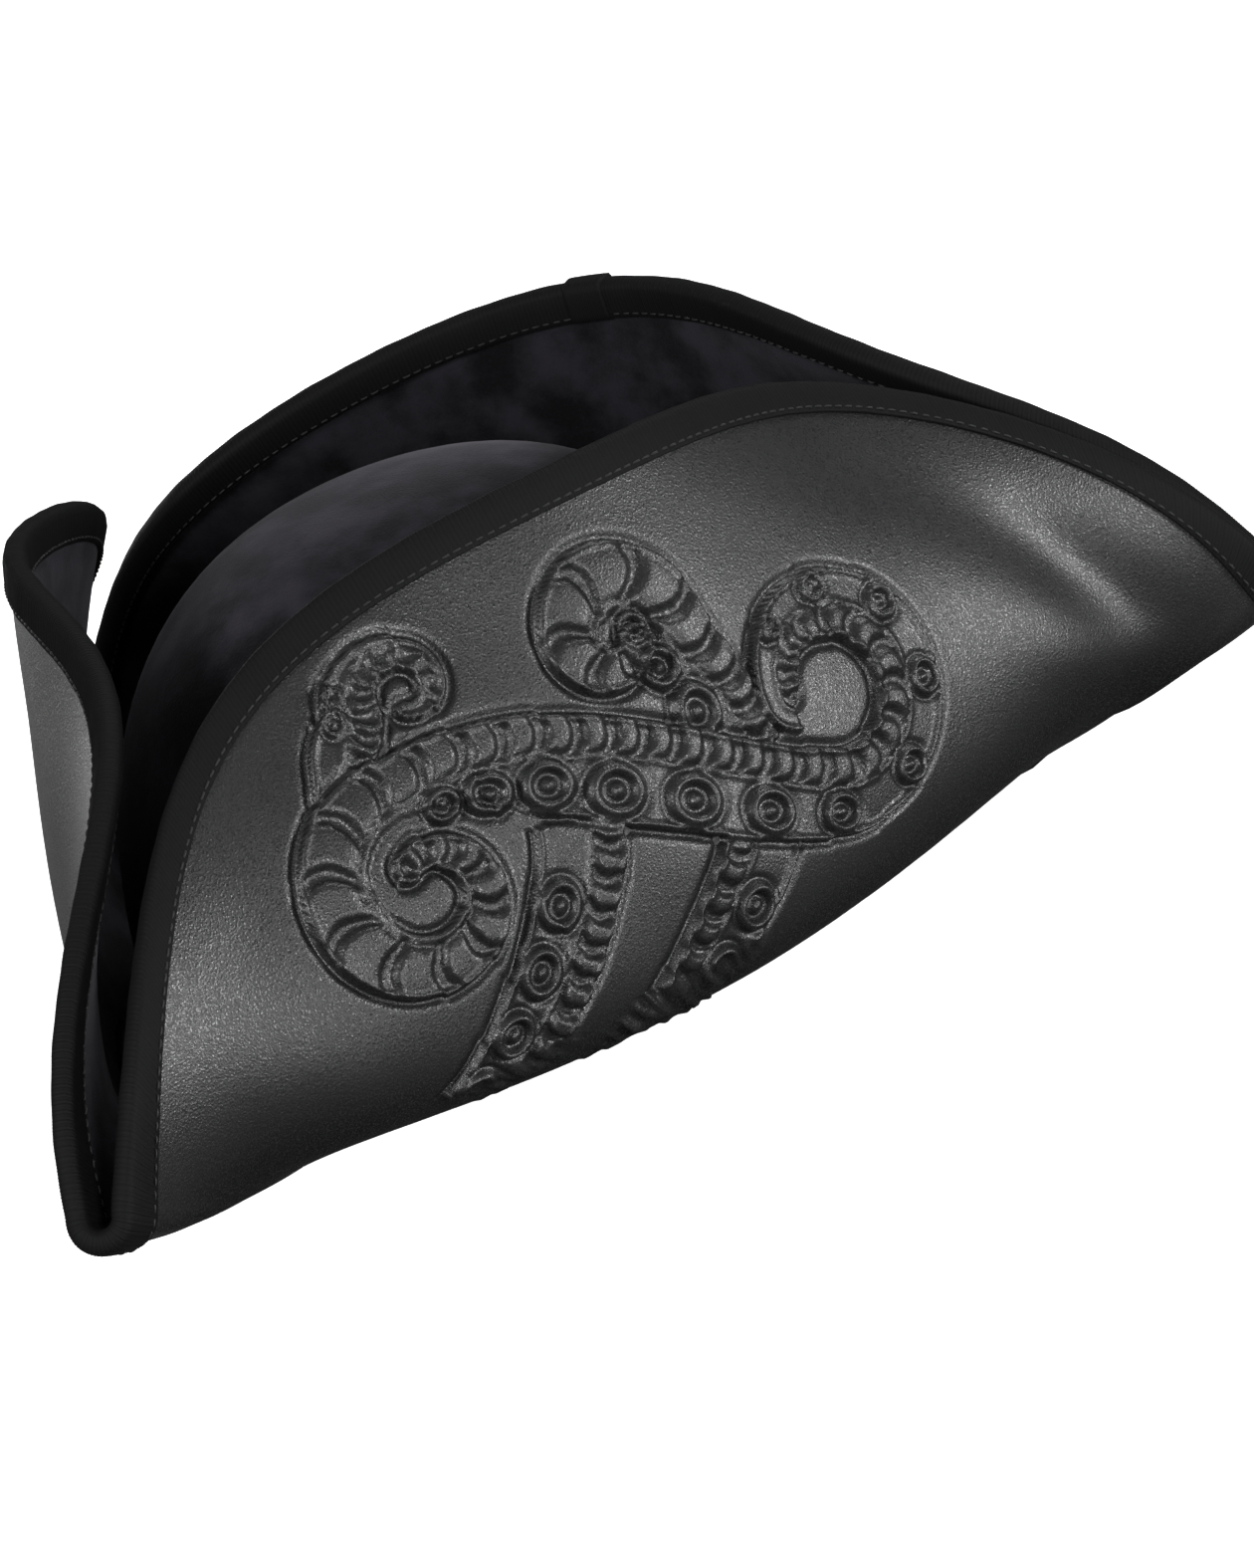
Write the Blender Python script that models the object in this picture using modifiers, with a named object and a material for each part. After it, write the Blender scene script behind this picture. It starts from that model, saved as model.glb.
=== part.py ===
"""A moulded costume tricorne: a laminated brim turned up in three panels, a round crown, and an inner band.

Metres, +Z up. The wearer faces -Y. The underside of the brim's flat ring lies on Z = 0. Every piece is
shaped round the crown's axis, and the whole hat is then moved so that its box is centred over the origin.
"""

from math import comb, cos, pi, radians, sin

import bmesh
import bpy
import numpy as np

# The crown and the head opening
CROWN_HALF_WIDTH = 0.0880
CROWN_HALF_LENGTH = 0.1035
CROWN_HEIGHT = 0.1190
CROWN_SQUARENESS = 2.5
CROWN_STEPS = 28
CROWN_RISE_STEPS = 6
CROWN_CLEARANCE = 0.0006

# The layers, from the outside in
GAP = 0.0003
LEATHER = 0.0010
FOAM = 0.0014
SUEDE = 0.0008
BRIM = LEATHER + GAP + FOAM + GAP + SUEDE
COVER = 0.0009
STIFFENER = 0.0014
LINING = 0.0005

# The brim, in each corner's own directions: along the corner, across it, and up
CORNERS = [radians(angle) for angle in (-90, 30, 150)]
TIP = 0.2100
BEAK_HALF_GAP = 0.0080
EDGE_HANDLES = (
    (TIP, BEAK_HALF_GAP, 0.0230),
    (0.1940, 0.0130, 0.0575),
    (0.1655, 0.0180, 0.0955),
    (0.0995, -0.0185, 0.1110),
)
SIDE_PEAK_DISTANCE = 0.0905
SIDE_PEAK_HEIGHT = 0.1300
LEFT_ROLL_DISTANCE = 0.1190
RIGHT_ROLL_DISTANCE = 0.1050
BACK_PEAK_DISTANCE = 0.1280
BACK_PEAK_HEIGHT = 0.1265
BACK_ROLL_DISTANCE = 0.1330
PANEL_PEAK_HANDLE = 0.0720
REAR_LIFT = 0.0050
FLAT_RING = 0.0120
FRONT_SPREAD = 7
TIP_LIFT = 0.0020
ROLL_OUT = 0.0100
BELLY_OUT = 0.0010
BELLY_SHARE = 0.45
SPREAD_POWER = 1.5
TIP_LIFT_POWER = 1.5
ROLL_DRAW = (0.45, 2)
BELLY_DRAW = (0.16, 4)
REAR_LIFT_SHARES = (1.0, 0.7, 0.4, 0.0)
TURN_STEPS = 3
PANEL_STEPS = 9
BRIM_ROWS = (0.0, 0.25, 0.5, 0.75)

# The binding and the threads
BINDING = 0.0008
BINDING_DEPTH = 0.0090
OVERLAP_STEPS = (0.930, 0.965)
THREAD_RADIUS = 0.0003
STITCH_INSET = 0.0013
LAP_CLEARANCE = 0.0012

# Inside the crown
BAND = 0.0010
BAND_HEIGHT = 0.0300
BAND_LIFT = 0.0015
BOW_WIDTH = 0.0150
LABEL_SIZE = (0.0006, 0.0180, 0.0120)
TRIM_CLEARANCE = 0.0010
FOOT_LIFT = 0.0005
INNER_FACE = COVER + GAP + STIFFENER + GAP + LINING + 3 * GAP

# The pieces that reach furthest out, which the hat is centred by
WIDEST = ("brim_leather_facing", "edge_binding", "binding_overlap")


def material(name, colour, roughness):
    made = bpy.data.materials.new(name)
    made.use_nodes = True
    shader = made.node_tree.nodes["Principled BSDF"]
    shader.inputs["Base Color"].default_value = (*colour, 1.0)
    shader.inputs["Roughness"].default_value = roughness
    made.diffuse_color = (*colour, 1.0)
    return made


def add_object(name, data, collection, surface):
    data.materials.append(surface)
    made = bpy.data.objects.new(name, data)
    collection.objects.link(made)
    return made


def bezier(handles, t):
    """The point at t on the Bezier curve that has these handles."""
    n = len(handles) - 1
    return sum(
        comb(n, i) * t**i * (1 - t) ** (n - i) * np.array(handle)
        for i, handle in enumerate(handles)
    )


def unit(vector):
    return vector / np.linalg.norm(vector)


def panel_middle(distance, height):
    """A point on the plane between two corners, in the corner's own directions."""
    return np.array([distance * cos(pi / 3), distance * sin(pi / 3), height])


def on_back_panel(corner, side):
    return abs(corner + side * pi / 3 - pi / 2) < 0.01


def edge_handles(corner, side):
    """The handles from the beak's tip to the panel's peak; the rear corners stand a little higher."""
    if on_back_panel(corner, side):
        peak = panel_middle(BACK_PEAK_DISTANCE, BACK_PEAK_HEIGHT)
    else:
        peak = panel_middle(SIDE_PEAK_DISTANCE, SIDE_PEAK_HEIGHT)
    along = np.array([cos(pi / 6), -sin(pi / 6), 0.0])
    handles = [np.array(handle) for handle in EDGE_HANDLES]
    if corner != CORNERS[0]:
        for handle, share in zip(handles, REAR_LIFT_SHARES):
            handle[2] += REAR_LIFT * share
    return [*handles, peak + PANEL_PEAK_HANDLE * along, peak]


def edge_at(corner, side, turn, t):
    """The brim's edge: a quarter circle round the beak's tip on each side, then a curve up to the peak."""
    handles = edge_handles(corner, side)
    if t > 0:
        return bezier(handles, t)
    start = np.array(handles[0])
    down = unit((start - np.array(handles[1])) * (1, 0, 1))
    across = np.array([0.0, BEAK_HALF_GAP * sin(turn), 0.0])
    return start * (1, 0, 1) + across + down * BEAK_HALF_GAP * cos(turn)


def crown_radius(angle, more):
    """How far the crown's oval foot is from the axis, widened by more."""
    a = CROWN_HALF_WIDTH + more
    b = CROWN_HALF_LENGTH + more
    return 1 / np.hypot(cos(angle) / a, sin(angle) / b)


def foot_at(corner, spread, more):
    """A point of the crown's oval foot, spread radians round from the corner, in the corner's directions."""
    r = crown_radius(corner + spread, more)
    return np.array([r * cos(spread), r * sin(spread), 0.0])


def roll_distance(corner, side):
    """How far the fold's middle is from the axis; the wearer's right panel is pressed flatter."""
    if on_back_panel(corner, side):
        return BACK_ROLL_DISTANCE
    return LEFT_ROLL_DISTANCE if cos(corner + side * pi / 3) > 0 else RIGHT_ROLL_DISTANCE


def fold_at(corner, side, share):
    """The bottom of the roll: it runs from the beak's tip to the panel's middle and bows out between."""
    along = np.array([-cos(pi / 6), sin(pi / 6), 0.0])
    out = np.array([sin(pi / 6), cos(pi / 6), 0.0])
    start = np.array([TIP, BEAK_HALF_GAP, 0.0])
    half_length = (TIP - BEAK_HALF_GAP * sin(pi / 6)) * cos(pi / 6)
    bow = roll_distance(corner, side) - (TIP * cos(pi / 3) + BEAK_HALF_GAP * sin(pi / 3))
    tip_lift = TIP_LIFT if corner == CORNERS[0] else TIP_LIFT + REAR_LIFT
    lift = np.array([0.0, 0.0, tip_lift * (1 - share) ** TIP_LIFT_POWER])
    return start + along * half_length * share + out * bow * sin(0.5 * pi * share) + lift, out


def profile_handles(corner, side, turn, t):
    """The ring's inner point, and the four handles of the brim's section from the flat ring to the edge."""
    edge = edge_at(corner, side, turn, t)
    across = sin(turn) if t == 0 else 1.0
    spread = radians(FRONT_SPREAD) * across
    spread += (pi / 3 - radians(FRONT_SPREAD)) * t**SPREAD_POWER
    start = np.array([TIP, BEAK_HALF_GAP, 0.0])
    half_length = (TIP - BEAK_HALF_GAP / 2) * cos(pi / 6)
    share = (edge - start) @ (-cos(pi / 6), sin(pi / 6), 0.0) / half_length
    share = min(max(share, 0.0), 1.0) if t > 0 else 0.0
    fold, out = fold_at(corner, side, share)
    outer = foot_at(corner, side * spread, CROWN_CLEARANCE + FLAT_RING)
    inner = foot_at(corner, side * spread, CROWN_CLEARANCE)
    mirror = np.array([1.0, side, 1.0])
    outer, inner = outer * mirror, inner * mirror
    back = fold - outer
    roll = fold + out * ROLL_OUT * share - back * ROLL_DRAW[0] * (1 - share) ** ROLL_DRAW[1]
    roll[1] *= across
    roll[2] = fold[2] * share
    below = fold + out * BELLY_OUT * share - back * BELLY_DRAW[0] * (1 - share) ** BELLY_DRAW[1]
    below[1] *= across
    below[2] = fold[2] + BELLY_SHARE * (edge[2] - fold[2])
    handles = [outer, roll, below, edge]
    return inner * mirror, [handle * mirror for handle in handles]


def to_world(corner, point):
    along = np.array([cos(corner), sin(corner), 0.0])
    across = np.array([-sin(corner), cos(corner), 0.0])
    return point[0] * along + point[1] * across + np.array([0.0, 0.0, point[2]])


def stations():
    """Every section round the brim, as (corner, side, turn, t), in order and without repeats."""
    found = []
    for corner in CORNERS:
        half = [(0.5 * pi * i / TURN_STEPS, 0.0) for i in range(TURN_STEPS)]
        half += [(0.5 * pi, i / PANEL_STEPS) for i in range(PANEL_STEPS + 1)]
        found += [(corner, -1, turn, t) for turn, t in reversed(half[1:-1])]
        found += [(corner, 1, turn, t) for turn, t in half[:-1]]
        if corner == CORNERS[1]:
            found += overlap_stations()
        found.append((corner, 1, 0.5 * pi, 1.0))
    return found


def overlap_stations():
    """The sections under the ribbon's lapped end, beside the middle of the back panel."""
    return [(CORNERS[1], 1, 0.5 * pi, t) for t in OVERLAP_STEPS]


def brim_section(station):
    """The section's points on the brim's outer face, from the crown's foot to the edge."""
    corner = station[0]
    inner, handles = profile_handles(*station)
    last = 1 - BINDING_DEPTH / (3 * np.linalg.norm(handles[3] - handles[2]))
    points = [inner] + [bezier(handles, t) for t in (*BRIM_ROWS, last, 1.0)]
    return [to_world(corner, point) for point in points]


def brim_grid():
    """All the sections, each a row of points from the crown's foot to the edge."""
    return np.array([brim_section(station) for station in stations()])


def grid_normals(grid):
    """The unit normal at each point of the grid, on the crown's side of the brim."""
    round_about = np.roll(grid, -1, axis=0) - np.roll(grid, 1, axis=0)
    outward = np.gradient(grid, axis=1)
    normals = -np.cross(round_about, outward)
    normals /= np.linalg.norm(normals, axis=2, keepdims=True)
    normals[:, 0] = (0.0, 0.0, 1.0)
    normals[:, 1] = (0.0, 0.0, 1.0)
    return normals


def loft(name, sections, closed, collection, surface):
    """A solid through closed sections of equal length: a ring of them, or a run with its ends filled.

    A section's second half is split the other way, so that the faces of neighbouring layers nest.
    """
    count, points = len(sections), len(sections[0])
    shape = bmesh.new()
    verts = [[shape.verts.new(point) for point in section] for section in sections]
    for i in range(count if closed else count - 1):
        here, after = verts[i], verts[(i + 1) % count]
        for j in range(points):
            k = (j + 1) % points
            if j < points // 2:
                shape.faces.new((here[j], here[k], after[k]))
                shape.faces.new((here[j], after[k], after[j]))
            else:
                shape.faces.new((here[j], here[k], after[j]))
                shape.faces.new((here[k], after[k], after[j]))
    if not closed:
        shape.faces.new(list(reversed(verts[0])))
        shape.faces.new(verts[-1])
    bmesh.ops.recalc_face_normals(shape, faces=shape.faces)
    data = bpy.data.meshes.new(name)
    shape.to_mesh(data)
    shape.free()
    return add_object(name, data, collection, surface)


def brim_layer(name, near, far, short, collection, surface):
    """One layer of the laminate, between two depths from the outer face, ending short of the edge."""
    grid = brim_grid()
    normals = grid_normals(grid)
    outward = grid[:, -1] - grid[:, -2]
    outward /= np.linalg.norm(outward, axis=1, keepdims=True)
    grid[:, -1] -= short * outward
    faces = [grid + normals * depth for depth in (near, far)]
    sections = np.concatenate([faces[0], faces[1][:, ::-1]], axis=1)
    return loft(name, sections, True, collection, surface)


def binding_sections(grid, normals, first, thick):
    """A folded strip over the edge, its inner faces standing first off the brim."""
    at_edge, below = grid[:, -1], grid[:, -2]
    outward = at_edge - below
    outward /= np.linalg.norm(outward, axis=1, keepdims=True)
    n_edge, n_below = normals[:, -1], normals[:, -2]
    near, far = -first, BRIM + first
    near_out, far_out = near - thick, far + thick
    return np.stack(
        [
            at_edge + n_edge * far + outward * (first + thick),
            at_edge + n_edge * far_out,
            below + n_below * far_out,
            below + n_below * far,
            at_edge + n_edge * far + outward * first,
            at_edge + n_edge * near + outward * first,
            below + n_below * near,
            below + n_below * near_out,
            at_edge + n_edge * near_out,
            at_edge + n_edge * near + outward * (first + thick),
        ],
        axis=1,
    )


def edge_binding(collection, surface):
    grid = brim_grid()
    normals = grid_normals(grid)
    sections = binding_sections(grid, normals, GAP, BINDING)
    return loft("edge_binding", sections, True, collection, surface)


def overlap_run():
    """Where the lapped end's sections stand in the list of all stations."""
    first = stations().index(overlap_stations()[0])
    return first, first + len(OVERLAP_STEPS) + 1


def binding_overlap(collection, surface):
    """The ribbon's loose end, lapped over its start at the middle of the back panel."""
    grid = brim_grid()
    normals = grid_normals(grid)
    first, after = overlap_run()
    over = 2 * GAP + BINDING
    sections = binding_sections(grid, normals, over, BINDING)
    return loft("binding_overlap", sections[first:after], False, collection, surface)


def thread(name, points, collection, surface, closed=True):
    """A thread through these points."""
    data = bpy.data.curves.new(name, "CURVE")
    data.dimensions = "3D"
    data.bevel_depth = THREAD_RADIUS
    data.bevel_resolution = 0
    data.use_fill_caps = not closed
    line = data.splines.new("POLY")
    line.points.add(len(points) - 1)
    for place, point in zip(line.points, points):
        place.co = (*point, 1.0)
    line.use_cyclic_u = closed
    return add_object(name, data, collection, surface)


def binding_thread(name, side, collection, surface):
    """The row of machine stitches along the binding's lower border, on one face, from lap to lap."""
    grid = brim_grid()
    normals = grid_normals(grid)
    proud = GAP + BINDING + 2 * GAP + THREAD_RADIUS
    depth = -proud if side < 0 else BRIM + proud
    rows = grid[:, -2:] + normals[:, -2:] * depth
    places = rows[:, 0] + (rows[:, 1] - rows[:, 0]) * STITCH_INSET / BINDING_DEPTH
    first, after = overlap_run()
    places = np.roll(places, 1 - after, axis=0)
    covered = after - first
    start = places[0] + LAP_CLEARANCE * unit(places[1] - places[0])
    end = places[1 - covered] + LAP_CLEARANCE * unit(places[-covered] - places[1 - covered])
    run = [start, *places[1 : 1 - covered], end]
    return thread(name, run, collection, surface, closed=False)


def crown_profile(inset, foot):
    """The crown's section on its narrow side, from the foot to the top, inset from the outer face."""
    points = []
    for i in range(CROWN_RISE_STEPS + 1):
        angle = 0.5 * pi * i / CROWN_RISE_STEPS
        power = 2 / CROWN_SQUARENESS
        r = (CROWN_HALF_WIDTH - inset) * cos(angle) ** power
        z = (CROWN_HEIGHT - inset) * sin(angle) ** power
        points.append((max(r, 0.0), max(z, foot)))
    points[-1] = (0.0, CROWN_HEIGHT - inset)
    return points


def turned(name, profile, closed, collection, surface):
    """A profile turned round the axis and stretched to the crown's oval."""
    data = bpy.data.meshes.new(name)
    count = len(profile)
    edges = [(i, i + 1) for i in range(count - 1)]
    if closed:
        edges.append((count - 1, 0))
    data.from_pydata([(r, 0.0, z) for r, z in profile], edges, [])
    made = add_object(name, data, collection, surface)
    screw = made.modifiers.new("Turn", "SCREW")
    screw.steps = CROWN_STEPS
    screw.render_steps = CROWN_STEPS
    screw.use_merge_vertices = True
    screw.merge_threshold = 0.00001
    screw.use_smooth_shade = False
    made.scale = (1.0, CROWN_HALF_LENGTH / CROWN_HALF_WIDTH, 1.0)
    return made


def crown_shell(name, outer, inner, foot, collection, surface):
    """One layer of the crown, between two insets from its outer face, open at the foot."""
    outside = crown_profile(outer, foot)
    inside = crown_profile(inner, foot)
    return turned(name, list(reversed(outside)) + inside, False, collection, surface)


def inner_radius(inset, z):
    """How far a face at this inset is from the axis on the narrow side, near the crown's foot."""
    low, high = crown_profile(inset, 0.0)[:2]
    return low[0] + (high[0] - low[0]) * (z - low[1]) / (high[1] - low[1])


def sweatband(collection, surface):
    """The flat band that the head touches; it leans in with the crown's wall."""
    top = BAND_LIFT + BAND_HEIGHT
    low_r, high_r = inner_radius(INNER_FACE, BAND_LIFT), inner_radius(INNER_FACE, top)
    profile = [
        (high_r, top),
        (low_r, BAND_LIFT),
        (low_r - BAND, BAND_LIFT),
        (high_r - BAND, top),
    ]
    return turned("sweatband", profile, True, collection, surface)


def oval_ring(more, z):
    """Points round the crown's oval at one height, more away from its outer face."""
    angles = [2 * pi * i / CROWN_STEPS for i in range(CROWN_STEPS)]
    a = CROWN_HALF_WIDTH + more
    b = a * CROWN_HALF_LENGTH / CROWN_HALF_WIDTH
    return [(a * cos(angle), b * sin(angle), z) for angle in angles]


def crown_seam_thread(collection, surface):
    """The stitching that joins the brim to the crown, in the corner between them."""
    apart = GAP + THREAD_RADIUS
    return thread("crown_seam_thread", oval_ring(apart, BRIM + apart), collection, surface)


def sweatband_thread(collection, surface):
    """The row of stitches along the sweatband's lower edge."""
    inset = INNER_FACE + BAND + GAP + THREAD_RADIUS
    ring = oval_ring(-inset, BAND_LIFT + STITCH_INSET)
    return thread("sweatband_thread", ring, collection, surface)


def sweatband_bow(collection, surface):
    """The tiny flat bow that marks the back of the sweatband."""
    data = bpy.data.curves.new("sweatband_bow", "CURVE")
    data.dimensions = "2D"
    data.fill_mode = "BOTH"
    data.extrude = BAND / 2
    outline = data.splines.new("POLY")
    half, waist = BOW_WIDTH / 2, BOW_WIDTH / 10
    corners = [(-half, waist * 3), (0, waist), (half, waist * 3), (half, -waist * 3)]
    corners += [(0, -waist), (-half, -waist * 3)]
    outline.points.add(len(corners) - 1)
    for place, corner in zip(outline.points, corners):
        place.co = (*corner, 0.0, 1.0)
    outline.use_cyclic_u = True
    made = add_object("sweatband_bow", data, collection, surface)
    middle = BAND_LIFT + BAND_HEIGHT / 2
    face = inner_radius(INNER_FACE + BAND, middle + BOW_WIDTH * 0.3)
    face *= CROWN_HALF_LENGTH / CROWN_HALF_WIDTH
    made.rotation_euler = (pi / 2, 0.0, 0.0)
    made.location = (0.0, face - BAND / 2 - TRIM_CLEARANCE, middle)
    return made


def size_label(collection, surface):
    """A blank woven label, sewn flat to the sweatband at the wearer's left."""
    bpy.ops.mesh.primitive_cube_add(size=1.0)
    made = bpy.context.active_object
    made.name = "size_label"
    made.data.name = "size_label"
    made.data.materials.append(surface)
    made.scale = LABEL_SIZE
    middle = BAND_LIFT + BAND_HEIGHT / 2
    face = inner_radius(INNER_FACE + BAND, middle + LABEL_SIZE[2] / 2)
    made.location = (face - LABEL_SIZE[0] / 2 - TRIM_CLEARANCE, 0.0, middle)
    for old in list(made.users_collection):
        old.objects.unlink(made)
    collection.objects.link(made)
    return made


def centre_on_origin(collection):
    """Parents every piece to one empty, and moves it so that the hat's box is centred over the origin."""
    frame = bpy.data.objects.new("hat_frame", None)
    collection.objects.link(frame)
    for made in collection.objects:
        if made is not frame:
            made.parent = frame
    widest = [vert.co for name in WIDEST for vert in bpy.data.objects[name].data.vertices]
    for axis in (0, 1):
        places = [place[axis] for place in widest]
        frame.location[axis] = -(min(places) + max(places)) / 2


def main():
    for old in list(bpy.data.objects):
        bpy.data.objects.remove(old, do_unlink=True)
    hat = bpy.data.collections.new("tricorne_hat")
    bpy.context.scene.collection.children.link(hat)

    leather = material("satin_leather", (0.030, 0.030, 0.032), 0.42)
    foam = material("foam", (0.060, 0.060, 0.060), 0.90)
    suede = material("suede", (0.020, 0.019, 0.022), 0.95)
    ribbon = material("grosgrain", (0.016, 0.016, 0.017), 0.70)
    felt = material("felt", (0.045, 0.044, 0.043), 0.95)
    satin = material("lining_satin", (0.025, 0.025, 0.027), 0.45)
    cotton = material("cotton_tape", (0.020, 0.020, 0.020), 0.85)
    sewing = material("sewing_thread", (0.015, 0.015, 0.016), 0.60)
    woven = material("woven_label", (0.550, 0.530, 0.480), 0.80)

    depth = 0.0
    brim_layer("brim_leather_facing", depth, depth + LEATHER, 0.0, hat, leather)
    depth += LEATHER + GAP
    brim_layer("brim_foam_core", depth, depth + FOAM, GAP, hat, foam)
    depth += FOAM + GAP
    brim_layer("brim_suede_facing", depth, depth + SUEDE, 0.0, hat, suede)
    edge_binding(hat, ribbon)
    binding_overlap(hat, ribbon)
    binding_thread("binding_outer_thread", -1, hat, sewing)
    binding_thread("binding_inner_thread", 1, hat, sewing)

    inset = 0.0
    crown_shell("crown_cover", inset, inset + COVER, FOOT_LIFT, hat, suede)
    inset += COVER + GAP
    crown_shell("crown_stiffener", inset, inset + STIFFENER, FOOT_LIFT, hat, felt)
    inset += STIFFENER + GAP
    crown_shell("crown_lining", inset, inset + LINING, FOOT_LIFT, hat, satin)
    crown_seam_thread(hat, sewing)
    sweatband(hat, cotton)
    sweatband_thread(hat, sewing)
    sweatband_bow(hat, ribbon)
    size_label(hat, woven)
    centre_on_origin(hat)


if __name__ == "__main__":
    main()
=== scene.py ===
"""The looks of a moulded costume tricorne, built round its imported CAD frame. Metres, +Z up."""

from math import comb, cos, pi, radians, sin

import bpy
import numpy as np
from mathutils import Matrix, Vector, kdtree


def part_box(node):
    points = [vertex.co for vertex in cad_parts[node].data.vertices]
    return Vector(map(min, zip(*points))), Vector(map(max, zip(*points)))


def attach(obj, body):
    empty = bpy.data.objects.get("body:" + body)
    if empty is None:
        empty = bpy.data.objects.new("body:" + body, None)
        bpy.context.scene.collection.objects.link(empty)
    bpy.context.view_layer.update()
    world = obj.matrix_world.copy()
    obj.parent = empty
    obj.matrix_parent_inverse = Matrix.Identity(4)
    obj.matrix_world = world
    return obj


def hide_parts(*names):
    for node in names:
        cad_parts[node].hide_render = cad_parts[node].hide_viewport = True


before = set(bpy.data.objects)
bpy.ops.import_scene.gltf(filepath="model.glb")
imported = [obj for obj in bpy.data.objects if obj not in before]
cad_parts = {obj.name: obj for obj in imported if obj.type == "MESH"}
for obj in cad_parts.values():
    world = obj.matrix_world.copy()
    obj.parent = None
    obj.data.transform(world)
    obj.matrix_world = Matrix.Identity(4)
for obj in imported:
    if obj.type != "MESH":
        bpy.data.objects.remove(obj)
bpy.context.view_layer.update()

bl_info = {
    "name": "Moulded Tricorne",
    "version": (1, 0, 0),
    "blender": (4, 5, 0),
    "location": "View3D > Sidebar > Tricorne",
    "description": "Builds a three-cornered costume hat with an embossed panel",
    "category": "Object",
}

# The crown and the laminate, as the frame has them
CROWN_HALF_WIDTH = 0.0880
CROWN_HALF_LENGTH = 0.1035
CROWN_HEIGHT = 0.1190
CROWN_ROUNDING = 0.8
CROWN_CLEARANCE = 0.0006
FLAT_RING = 0.0120
GAP = 0.0003
LEATHER = 0.0010
FOAM = 0.0014
SUEDE = 0.0008
BRIM = LEATHER + GAP + FOAM + GAP + SUEDE
COVER = 0.0009
STIFFENER = 0.0014
LINING = 0.0005
CROWN_STACK = COVER + GAP + STIFFENER + GAP + LINING
BAND_FACE = CROWN_STACK + 4 * GAP
FOOT_LIFT = 0.0005

# The brim's curve, in each corner's own directions: along the corner, across it, and up
FRONT, REAR_LEFT, REAR_RIGHT = (radians(angle) for angle in (-90, 30, 150))
TIP = 0.2100
BEAK_HALF_GAP = 0.0080
EDGE_HANDLES = (
    (TIP, BEAK_HALF_GAP, 0.0230),
    (0.1940, 0.0130, 0.0575),
    (0.1655, 0.0180, 0.0955),
    (0.0995, -0.0185, 0.1110),
)
SIDE_PEAK = (0.0905, 0.1300)
BACK_PEAK = (0.1280, 0.1265)
LEFT_ROLL_DISTANCE = 0.1190
RIGHT_ROLL_DISTANCE = 0.1050
BACK_ROLL_DISTANCE = 0.1330
PEAK_HANDLE = 0.0720
REAR_LIFT = 0.0050
REAR_LIFT_SHARES = (1.0, 0.7, 0.4, 0.0)
FRONT_SPREAD = radians(7)
SPREAD_POWER = 1.5
TIP_LIFT = 0.0020
TIP_LIFT_POWER = 1.5
ROLL_OUT = 0.0100
ROLL_DRAW = (0.45, 2)
BELLY_OUT = 0.0010
BELLY_DRAW = (0.16, 4)
BELLY_SHARE = 0.45
PANEL_ALONG = np.array([cos(pi / 3), sin(pi / 3), 0.0])

# Binding, threads and band
BINDING_DEPTH = 0.0090
BINDING_PROUD = 0.00134
RIB_SAMPLES = 3
LAP_SAMPLES = 4
LAP_LENGTH = 0.0125
LAP_PROUD = 0.0009
LAP_LIFT = 0.0003
STITCH_INSET = 0.0013
STITCH_SHARE = 0.80
RING_STITCH_SHARE = 0.78
STITCH_JITTER = 0.00008
THREAD_RADIUS = 0.00026
BAND = 0.0010
BAND_HEIGHT = 0.0300
BAND_LIFT = 0.0015
BAND_AROUND = 240
# The band's outline: its thickness and its height, each as a share
BAND_OUTLINE = (
    (0.0, 0.02), (0.35, 0.0), (0.8, 0.03), (1.0, 0.10), (1.05, 0.5),
    (1.02, 0.9), (0.8, 0.98), (0.3, 1.0), (0.0, 0.97),
)
# The ribbon's outline in millimetres: how far it stands from the outer face, and how far in from the edge
RIBBON_OUTLINE = (
    (-0.25, 9.00), (-0.95, 9.05), (-1.10, 8.75), (-1.17, 7.20), (-1.15, 4.10), (-1.05, 1.00),
    (-0.62, -0.42), (0.55, -1.02), (1.90, -1.14), (3.25, -1.02), (4.42, -0.42),
    (4.86, 1.00), (4.96, 4.10), (4.97, 7.20), (4.90, 8.75), (4.75, 9.05), (4.05, 9.00),
)

# The soft dent at the left panel's rear end: its place along and up the panel, and the way it runs
DENT_PLACE = (0.131, 0.052)
DENT_RUN = (0.83, 0.55)
DENT_WAVE = (0.0030, 0.011, 0.034)
RIDGE_WAVE = (0.0016, 0.012, 0.036)
RIDGE_BESIDE = 0.021

# The embossing. Each profile is a height, a place and a width; a groove's height is below zero
CM, MM = 0.01, 0.001
ORNAMENT_SPAN = (-0.122, 0.094)
ORNAMENT_LOW = -0.016
PATH_STEP = 0.0004
ARM_FLOOR = 0.00030
STRIP_HEIGHT = 0.00110
PILLOW_HEIGHT = 0.00225
PILLOW_EDGE = (0.0002, 0.0030)
RING_BOW = 0.26
RIB_PROFILE = (0.00050, 0.0, 0.00050)
SEAM_PROFILE = (0.00060, 0.0003, 0.0008)
RIM_PROFILE = (0.00110, 0.0008, 0.0008)
OUTLINE_PROFILE = (0.00110, 0.0007, 0.0011)
SUCKER_FILL = 0.88
SUCKER_STRETCH = 0.86
SUCKER_REACH = 1.6
SUCKER_PROFILES = (
    (0.00185, 0.72, 0.18), (0.00120, 0.0, 0.25), (-0.00080, 0.42, 0.12), (-0.00080, 1.06, 0.13),
)

# Fineness of the meshes
FINE = 0.00062
COARSE = 0.0040
STITCH_STATIONS = 0.0008
TURN_STATIONS = 40
EDGE_STATIONS = 1600
ROWS = 34
FINE_ROW_SPLIT = 7
FIRST_FINE_ROW = 9

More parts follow.
